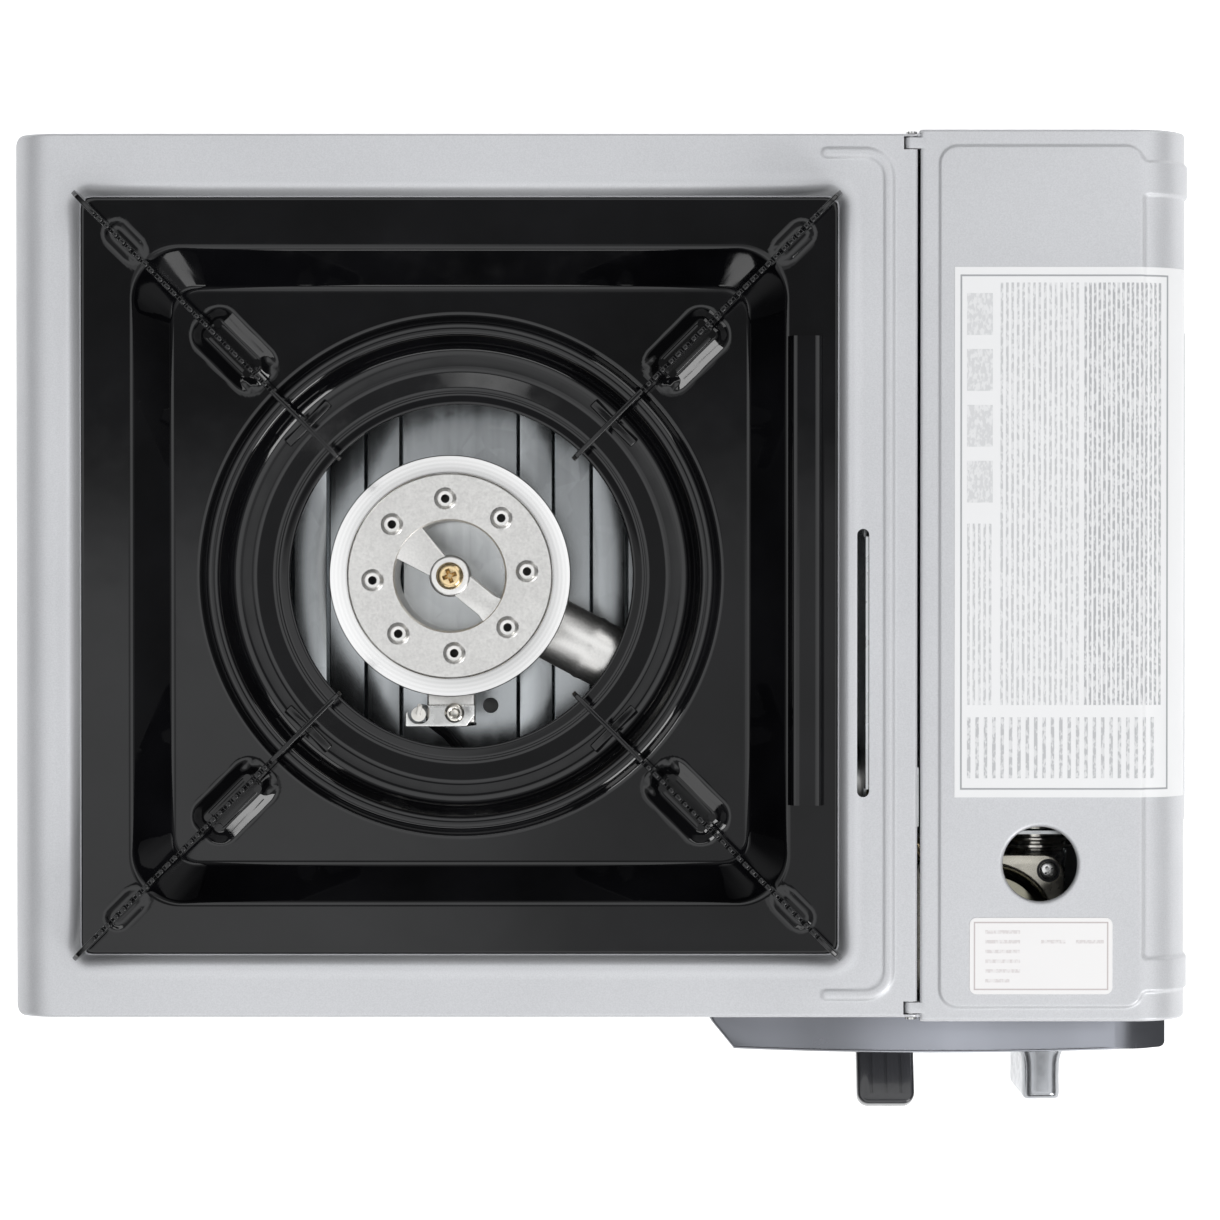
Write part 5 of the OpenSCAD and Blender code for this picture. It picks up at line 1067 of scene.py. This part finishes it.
def igniter_bracket():
    """Folded plate with a cut corner, a front flange, and a hollow rivet."""
    x0, x1, y0, y1 = -57.6, -37.2, ELECTRODE_Y - 4, ELECTRODE_Y + 2.4
    plan = [(x0, y0), (x1 - 2.6, y0), (x1, y0 + 3.4), (x1, y1), (x0 + 3.0, y1), (x0, y1 - 2.4)]
    z = BRACKET_Z
    plate = prism("bracket_plate", plan, z - 1, z, "root", "zinc_plated", "electrode_bracket", 0.35)
    rivet = (RIVET_X, ELECTRODE_Y)
    holes = ((rivet, 1.8, 32), ((ELECTRODE_X, ELECTRODE_Y), 3.3, 40))
    carve(plate, [rod("bracket_hole", place, r, 60, 70, n=n) for place, r, n in holes])
    flange = [(x0, z - 11), (x1, z - 11), (x1 - 2.6, z - 0.6), (x0, z - 0.6)]
    prism("bracket_flange", flange, y0, y0 + 0.9, "root", "zinc_plated", "", 0.15, 2, "Y")
    head = [(0.0, -6), (1.5, -6), (1.5, 0.02), (2.8, 0.02), (2.9, 0.4), (2.6, 0.9), (2.0, 1.15), (1.4, 0.95),
            (1.0, 0.5), (0.0, 0.4)]
    spin("bracket_rivet", [(r, z + h) for r, h in head], rivet, "root", "nickel", "electrode_rivet", 48, 40)


igniter_bracket()

# ---------- base tray ----------
TRAY_X0, TRAY_X1, TRAY_Y0, TRAY_Y1, TRAY_Z = -168.9, 168.0, -110.7, 140.7, 6.0
RIB_XS, RIB_HALF, RIB_H, RIB_Y0, RIB_Y1 = (-90.2, -67.7, -20.7, 1.8), 6.0, 2.0, -85.7, 115.7
FOOT_XS, FOOT_YS = (-150.9, 150.0), (-92.7, 122.7)
RIB_CROWN = 0.35


def tray_floor():
    """Floor with four pressed ribs, the first of them leaning a little."""
    spans = [(TRAY_X0 + 0.4, TRAY_X1 - 0.4, 6.0)]
    for x in RIB_XS:
        for edge in (x - RIB_HALF + 0.4, x + RIB_HALF - 0.4):
            spans.append((edge - 1.0, edge + 1.0, 0.25))
    ends = [(RIB_Y0 - 1, RIB_Y0 + 7, 0.6), (RIB_Y1 - 7, RIB_Y1 + 1, 0.6)]
    xs, ys = lines(spans), lines([(TRAY_Y0 + 0.4, TRAY_Y1 - 0.4, 6.0)] + ends)
    xx, yy = np.meshgrid(xs, ys)
    zz = np.full_like(xx, TRAY_Z + SHEET)
    for x in RIB_XS:
        inside = -sd_rect(xx, yy, x - RIB_HALF, x + RIB_HALF, RIB_Y0, RIB_Y1, RIB_HALF)
        crown = RIB_CROWN * np.clip(1 - ((xx - x) / RIB_HALF) ** 2, 0, 1)
        lean = 0.09 * (x - xx) if x == RIB_XS[0] else 0.0
        zz += np.clip(inside / 1.1, 0, 1) * (RIB_H - RIB_CROWN + crown + lean)
    rows = [ring(xs, y, zz[k]) for k, y in enumerate(ys)]
    sheet = MAT["tray_sheet"]
    floor = pressed("base_tray_floor", rows, "root", "galvanised", "base_tray", 20, material=sheet)
    holes = [rod("foot_hole", (x, y), 1.8, 3, 12, n=24) for x in FOOT_XS for y in FOOT_YS]
    carve(floor, holes + [rod("vent", (BURNER_X + 9.5, BODY_Y - 40.0), 2.4, 3, 12, n=32)], smooth=20)


def tray_walls():
    """Turned-up walls and the taller side of the canister bay."""
    outline = rounded(TRAY_X0, TRAY_X1, TRAY_Y0, TRAY_Y1, 3.0)
    inner = rounded(TRAY_X0 + SHEET, TRAY_X1 - SHEET, TRAY_Y0 + SHEET, TRAY_Y1 - SHEET, 3.0 - SHEET)
    top = TRAY_Z + 14
    wall = prism("base_tray_wall", outline, TRAY_Z, top, "root", "galvanised")
    carve(wall, [prism("room", inner, TRAY_Z - 1, top + 2)])
    low, high = (TRAY_X1 - SHEET, TRAY_Y0 + 3, top), (TRAY_X1, TRAY_Y1 - 3, top + 10)
    box("base_tray_bay_side", low, high, "root", "galvanised")


# ---------- regulator, seen through the viewing hole ----------
REGULATOR = (REG_X, REG_Y)


def regulator():
    """Housing with its flange and plate, the dark dome and the bright band round it."""
    body = [(0, 34), (16.5, 34), (17.5, 35), (17.5, 58), (17.2, 59.4), (0, 59.4)]
    spin("regulator_case", body, REGULATOR, "root", "cast_aluminium", "regulator_body")
    outline = rounded(REG_X - 21.8, REG_X + 21.8, REG_Y - 21.8, REG_Y + 21.8, 6)
    corners = [(REG_X + sx * 17.2, REG_Y + sy * 17.2) for sx in (-1, 1) for sy in (-1, 1)]
    parts = (("regulator_flange", 59.4, 62.4, "", 0.6),
             ("regulator_plate", 62.5, 64.1, "regulator_cover", 0.4))
    for name, z0, z1, node, width in parts:
        plate = prism(name, outline, z0, z1, "root", "zinc_plated", node, width, material=MAT["warm_plate"])
        carve(plate, [rod("bore", corner, 1.45, 55, 70, n=24) for corner in corners])
    dome = [(18.8, 64.1), (18.6, 65.0), (18.0, 66.2), (17.0, 66.8), (16.4, 66.4), (15.6, 66.0), (14.0, 66.6),
            (7.0, 67.2), (6.2, 67.6), (6.0, 69.2), (5.4, 69.5), (0, 69.5)]
    spin("regulator_dome", dome, REGULATOR, "root", "black_enamel", n=128, material=MAT["dark_plate"])
    band = [(19.6, 64.12), (19.4, 64.9), (18.9, 65.5), (18.4, 64.9), (18.2, 64.12)]
    spin("regulator_band", band, REGULATOR, "root", "nickel", n=128, smooth=60, closed=True)
    for k, corner in enumerate(corners):
        regulator_screw(k, corner)


def regulator_screw(k, place):
    """Cross-head screw with its washer and shank."""
    number = "_%d" % (k + 1)
    head = [(0, 64.2), (2.5, 64.2), (2.6, 64.6), (2.4, 65.4), (1.6, 65.8), (0, 65.9)]
    node = "regulator_screws" if k == 0 else ""
    screw = spin("regulator_screw" + number, head, place, "root", "zinc_plated", node, 40, 45)
    cross_cut(screw, place, 65.1, 1.5, 0.32, 35)
    washer = [(3.4, 64.12), (3.35, 64.5), (2.7, 64.6), (2.6, 64.12)]
    spin("regulator_washer" + number, washer, place, "root", "black_rubber", n=40, smooth=50, closed=True)
    spin("regulator_shank" + number, [(1.35, 59.5), (1.35, 64.3)], place, "root", "zinc_plated", n=20)


def barrel():
    """Turned nickel barrel and stepped socket on the canister's line."""
    run = [(3.1, -110.2), (8.6, -110.2), (9.0, -109.6), (9.0, -70.0), (9.4, -69.2), (9.4, -66.7),
           (4.0, -66.7), (4.0, -88.0), (3.1, -88.0)]
    spin("regulator_barrel", run, GAS, "root", "zinc_plated", n=80, axis="Y", closed=True)
    rings = [(4.6, -66.5), (8.9, -66.5), (8.9, -65.6), (11.6, -65.6), (12.0, -65.2), (12.0, -64.6),
             (11.7, -64.3), (8.9, -64.3), (8.9, -63.6), (10.8, -63.6), (11.0, -63.2), (11.0, -62.6),
             (10.7, -62.3), (8.9, -62.3), (8.9, -59.0), (8.5, -58.6), (4.6, -58.6)]
    spin("socket_rings", rings, GAS, "root", "nickel", "canister_socket", axis="Y", closed=True)


tray_floor()
tray_walls()
regulator()
barrel()

# ---------- labels ----------
LABEL_X0, LABEL_X1, LABEL_Y0, LABEL_Y1 = 100.9, 164.4, -48.5, 103.5
SMALL_X, SMALL_Y, SMALL_HALF_W, SMALL_HALF_L = 125.8, -94.0, 20.5, 11.0
# bars that run along Y, as x span, pitch, thickness, y span and strength
COLUMNS = (
    (114.0, 137.0, 1.55, 0.75, -22.0, 99.0, 0.42), (138.0, 160.5, 1.35, 0.75, -22.0, 99.0, 0.62),
    (104.5, 160.5, 2.4, 1.0, -43.0, -25.5, 0.5), (104.5, 112.0, 1.55, 0.75, -22.0, 30.0, 0.4),
)
# bars of the small label, as start, length and place from its middle
SMALL_ROWS = ((-16, 10, 6.4), (-16, 10, 3.6), (-16, 10, 0.8), (-16, 10, -2.0), (-16, 10, -4.8),
              (-16, 7, -7.6), (0, 7, 3.6), (10, 8, 3.6))


def film(name, paper, ink, bars, frame_box, line_width):
    """Printed film: generic bars and a thin frame, placed by object coordinates in metres."""
    s = Shader(name, paper, 0.32)
    across, along, _ = s.split(s.coords)

    def span(value, low, high):
        mid, half, soft = (low + high) / 2 * MM, (high - low) / 2 * MM, 0.06 * MM
        return s.ramp(s.math("ABSOLUTE", s.math("SUBTRACT", value, mid)), half - soft, half + soft, 1.0, 0.0)

    def inside(x0, x1, y0, y1):
        return s.math("MULTIPLY", span(across, x0, x1), span(along, y0, y1))

    words = 0.0
    for bar, strength in bars:
        words = s.math("MAXIMUM", words, s.math("MULTIPLY", inside(*bar), strength))
    words = s.math("MULTIPLY", words, s.ramp(s.noise(1300, 1.0, (1, 0.5, 1)), 0.4, 0.55, 0.35, 1.0))
    x0, x1, y0, y1 = frame_box
    inner = inside(x0 + line_width, x1 - line_width, y0 + line_width, y1 - line_width)
    line = s.math("MULTIPLY", s.math("SUBTRACT", inside(*frame_box), inner), 0.75)
    base = s.mix(s.ramp(s.noise(40, 2.0), 0.3, 0.7), tuple(c * 0.985 for c in paper), paper)
    s.colour(s.mix(s.math("MAXIMUM", words, line), base, ink))
    s.rough(s.noise(700, 2.0), 0.28, 0.4)
    s.bump(s.noise(500, 2.0), 0.01, 0.2)
    return s.mat


def info_label():
    """Large film over the lid's top and its right bend."""
    bars = []
    for x0, x1, pitch, thick, y0, y1, strength in COLUMNS:
        bars += [((x, x + thick, y0, y1), strength) for x in np.arange(x0, x1 - thick, pitch)]
    bars += [((104.4, 111.8, y, y + 12.0), 0.28) for y in (36.0, 52.0, 68.0, 84.0)]
    frame_box = (LABEL_X0 + 1.6, LABEL_X1 - 1.8, LABEL_Y0 + 2.2, LABEL_Y1 - 2.2)
    paper = film("info_film", (0.95, 0.95, 0.955), (0.22, 0.23, 0.25), bars, frame_box, 0.5)
    us = chain(LABEL_X0, (150, 2.0), (160, 0.5), (172.5, 0.8))
    ys = chain(LABEL_Y0, (LABEL_Y0 + 1, 0.3), (LABEL_Y1 - 1, 3.0), (LABEL_Y1, 0.3))
    rows = lid_rows(us, ys, 0.16)
    pressed("info_label_film", rows, "lid", "label_film", "info_label", thick=0.14, material=paper)


def small_label():
    """Small film near the lid's front."""
    def area(margin):
        half_w, half_l = SMALL_HALF_W - margin, SMALL_HALF_L - margin
        return SMALL_X - half_w, SMALL_X + half_w, SMALL_Y - half_l, SMALL_Y + half_l

    bars = [((SMALL_X + x, SMALL_X + x + w, SMALL_Y + y, SMALL_Y + y + 1.0), 0.4) for x, w, y in SMALL_ROWS]
    paper = film("small_film", (0.98, 0.965, 0.96), (0.5, 0.42, 0.42), bars, area(1.2), 0.4)
    z = TOP + RAISE + 0.02
    outline = rounded(*area(0.0), 2.0)
    prism("small_label_film", outline, z, z + 0.16, "lid", "label_film", "small_label", 0.04, 1,
          material=paper)


info_label()
small_label()

# ---------- materials of the CAD nodes that stay ----------
SLOTS = {
    "galvanised": ("partition", "heat_shield", "burner_stand", "regulator_bracket", "canister_guide",
                   "canister_carriage"),
    "zinc_plated": ("tray_screws", "panel_screws", "valve_stem", "lever_arm", "drive_pin", "pivot_stud",
                    "carriage_studs", "hinge_pins"),
    "black_rubber": ("feet", "ignition_lead"),
    "white_plastic": ("igniter_plunger", "igniter_cam"),
    "black_plastic": ("piezo_igniter",),
    "ceramic": ("electrode",),
    "brass": ("gas_jet",),
    "nickel": ("canister_spring",),
    "black_enamel": ("blade_rivets",),
}
for slot, nodes in SLOTS.items():
    for node in nodes:
        piece = NODES[node]
        one_material(piece, MAT[slot])

# ---------- stage, lamps and room ----------
FLOOR_SIZE, FLOOR_LIFT = 3.0, 0.62
LAMP_AIM = Vector((0, 0, 0.06))
LAMPS = (
    ("soft_front_right", (0.96, -1.0, 0.83), 0.6, 0.56, 7.6),
    ("soft_back_right", (0.82, 0.94, 0.74), 0.6, 0.5, 1.8),
    ("soft_front", (-0.15, -1.45, 1.04), 1.5, 0.26, 2.6),
)
ROOM_DARK, ROOM_BAND, CEILING_SLOPE, CEILING, CEILING_SHADED = 0.03, 0.3, 1.4, 1.1, 0.18


def stage():
    """White floor that glows for the camera, glass and reflections, but not right under the stove."""
    mesh = bpy.data.meshes.new("floor")
    corners = [(x * FLOOR_SIZE, y * FLOOR_SIZE, 0) for x, y in ((-1, -1), (1, -1), (1, 1), (-1, 1))]
    mesh.from_pydata(corners, [], [(0, 1, 2, 3)])
    floor = bpy.data.objects.new("floor", mesh)
    bpy.context.scene.collection.objects.link(floor)
    s = Shader("floor", (0.9, 0.9, 0.9), 0.6)
    s.colour(s.mix(s.ramp(s.noise(3, 2.0), 0.2, 0.8), (0.89, 0.89, 0.89), (0.91, 0.91, 0.91)))
    path = s.node("LightPath").outputs
    seen = s.math("MAXIMUM", path["Is Camera Ray"], path["Is Transmission Ray"])
    seen = s.math("MAXIMUM", seen, path["Is Glossy Ray"])
    x, y, _ = s.split(s.coords)
    across = s.ramp(s.math("ABSOLUTE", x), 0.150, 0.168)
    along = s.ramp(s.math("ABSOLUTE", s.math("SUBTRACT", y, BODY_Y * MM)), 0.108, 0.125)
    s.bsdf.inputs["Emission Color"].default_value = (1, 1, 1, 1)
    lift = s.math("MULTIPLY", s.math("MAXIMUM", across, along), FLOOR_LIFT)
    s.put(s.math("MULTIPLY", seen, lift), s.bsdf.inputs["Emission Strength"])
    floor.data.materials.append(s.mat)


def lamp(name, place, width, height, watts):
    """Soft rectangular lamp, turned to the stove."""
    data = bpy.data.lights.new(name, "AREA")
    data.shape, data.size, data.size_y, data.energy = "RECTANGLE", width, height, watts
    light = bpy.data.objects.new(name, data)
    bpy.context.scene.collection.objects.link(light)
    turn = (LAMP_AIM - Vector(place)).to_track_quat("-Z", "Y").to_matrix().to_4x4()
    light.matrix_world = Matrix.Translation(place) @ turn


def studio():
    """Room light by height: dark walls, a softer band, a pale ceiling with a shaded patch.

    The patch lies behind and right of the ceiling's middle. The camera, glass and low reflections see a
    white backdrop in place of the room.
    """
    world = bpy.data.worlds.new("studio")
    world.use_nodes = True
    world.node_tree.nodes.clear()
    w = Nodes(world.node_tree)

    def soft(value, low, high, out0=0.0, out1=1.0):
        return w.ramp(value, low, high, out0, out1, interpolation_type="SMOOTHSTEP")

    right, backward, up = w.split(w.node("TexCoord").outputs["Generated"])
    side = w.math("MAXIMUM", soft(backward, -0.03, 0.06), soft(right, -0.09, 0.01, 0.0, 0.55))
    shaded = w.math("MULTIPLY", side, soft(up, 0.955, 0.985))
    middle = soft(shaded, 0.0, 1.0, CEILING, CEILING_SHADED)
    ceiling = w.mix(soft(up, 0.9, 0.96), CEILING_SLOPE, middle, "FLOAT")
    wall = soft(up, 0.42, 0.56, ROOM_DARK, ROOM_BAND)
    room, backdrop = w.node("Background"), w.node("Background")
    room.inputs["Color"].default_value = (0.98, 0.99, 1.0, 1)
    w.put(w.mix(soft(up, 0.64, 0.8), wall, ceiling, "FLOAT"), room.inputs["Strength"])
    backdrop.inputs["Color"].default_value = (1, 1, 1, 1)
    path = w.node("LightPath").outputs
    seen = w.math("MAXIMUM", path["Is Camera Ray"], path["Is Transmission Ray"])
    low = w.math("MULTIPLY", path["Is Glossy Ray"], soft(up, 0.03, 0.12, 1.0, 0.0))
    mixed, out = w.node("MixShader"), w.node("OutputWorld")
    w.put(w.math("MAXIMUM", seen, low), mixed.inputs[0])
    w.put(room.outputs[0], mixed.inputs[1])
    w.put(backdrop.outputs[0], mixed.inputs[2])
    w.put(mixed.outputs[0], out.inputs[0])
    bpy.context.scene.world = world


stage()
for values in LAMPS:
    lamp(*values)
studio()
